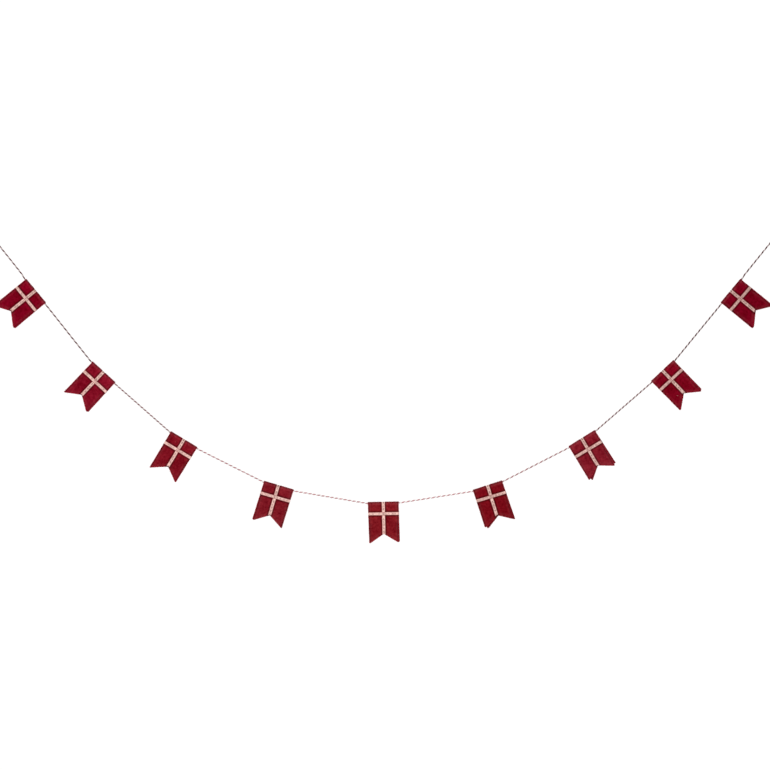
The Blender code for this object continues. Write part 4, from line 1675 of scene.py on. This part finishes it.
@dataclass
class Studio:
    """The plain pale floor, the soft light and the camera that faces the bunting. Sizes are metres."""

    floor_height: float = -1.3
    floor_size: float = 9.0
    floor_colours: tuple[Colour, Colour] = ((0.90, 0.90, 0.90), (0.92, 0.92, 0.92))
    floor_grain: Cloud = Cloud(0.5, 1.0, 0.0, 1.0)
    floor_surface: Surface = Surface(0.9, 0.5)
    room_light: Colour = (1.0, 0.99, 0.985)
    room_strength: float = 0.62
    white_strength: float = 1.05  # of the white that the camera sees behind everything
    lamp_softness: float = math.radians(40)
    front_strength: float = 1.55
    front_from: tuple[float, float, float] = (-0.55, -1.0, 0.75)
    back_strength: float = 0.9
    back_from: tuple[float, float, float] = (0.5, 1.0, 0.15)
    furthest: float = 60.0  # that the camera sees

    def floor(self) -> None:
        """Lay the floor, well below the bunting."""
        bpy.ops.object.select_all(action="DESELECT")
        place = (VIEW_MIDDLE[0] * MM, 0.0, self.floor_height)
        bpy.ops.mesh.primitive_plane_add(size=self.floor_size, location=place)
        plane = bpy.context.object
        plane.name = "studio_floor"
        bpy.ops.object.transform_apply(location=True, rotation=True, scale=True)
        graph = Graph("pale_floor")
        grain = graph.cloud(graph.object_place(), self.floor_grain)
        plane.data.materials.append(graph.coat(graph.tinted(*self.floor_colours, grain), self.floor_surface))

    def world(self) -> None:
        """Fill the room with soft light, against pure white."""
        world = bpy.data.worlds.new("white_room")
        bpy.context.scene.world = world
        world.use_nodes = True
        tree = world.node_tree
        surround = tree.nodes["Background"]
        surround.inputs["Color"].default_value = (*self.room_light, 1.0)
        surround.inputs["Strength"].default_value = self.room_strength
        seen = tree.nodes.new("ShaderNodeBackground")
        seen.inputs["Color"].default_value = (1.0, 1.0, 1.0, 1.0)
        seen.inputs["Strength"].default_value = self.white_strength
        path = tree.nodes.new("ShaderNodeLightPath")
        choose = tree.nodes.new("ShaderNodeMixShader")
        tree.links.new(path.outputs["Is Camera Ray"], choose.inputs["Fac"])
        tree.links.new(surround.outputs["Background"], choose.inputs[1])
        tree.links.new(seen.outputs["Background"], choose.inputs[2])
        tree.links.new(choose.outputs["Shader"], tree.nodes["World Output"].inputs["Surface"])

    def lamp(self, name: str, strength: float, source: tuple[float, float, float]) -> None:
        """Hang a broad soft lamp.

        Args:
            name: its name.
            strength: how strong it is.
            source: the direction that its light comes from.
        """
        data = bpy.data.lights.new(name, "SUN")
        data.energy = strength
        data.angle = self.lamp_softness
        lamp = bpy.data.objects.new(name, data)
        lamp.rotation_euler = (-Vector(source)).to_track_quat("-Z", "Y").to_euler()
        bpy.context.scene.collection.objects.link(lamp)

    def camera(self) -> None:
        """Face the bunting square on from far off, as a long lens does."""
        data = bpy.data.cameras.new("long_lens")
        data.lens = data.sensor_width * VIEW_DISTANCE / VIEW_WIDTH
        data.clip_end = self.furthest
        camera = bpy.data.objects.new("long_lens", data)
        camera.location = (VIEW_MIDDLE[0] * MM, -VIEW_DISTANCE * MM, VIEW_MIDDLE[1] * MM)
        camera.rotation_euler = (math.pi / 2, 0.0, 0.0)
        bpy.context.scene.collection.objects.link(camera)
        bpy.context.scene.camera = camera

    def set_up(self) -> None:
        """Set up the whole studio."""
        self.floor()
        self.world()
        self.lamp("front_lamp", self.front_strength, self.front_from)
        self.lamp("back_lamp", self.back_strength, self.back_from)
        self.camera()
        bpy.context.scene.view_settings.view_transform = "Standard"


def main() -> None:
    """Build the bunting's looks round the frame, piece by piece."""
    logging.basicConfig(level=logging.INFO, format="%(name)s %(message)s")
    Studio().set_up()
    finishes = Finishes.make()
    twine, line = Twine(finishes).build()
    ends = TiedEnd("left", HANG_LEFT, ROUTE[0], -1.0, finishes).build()
    ends += TiedEnd("right", HANG_RIGHT, ROUTE[-1], 1.0, finishes).build()
    thread = Thread()
    for number, flag in enumerate(FLAGS, start=1):
        FlagDresser(number, flag, finishes, thread).build(twine)


if __name__ == "__main__":
    main()
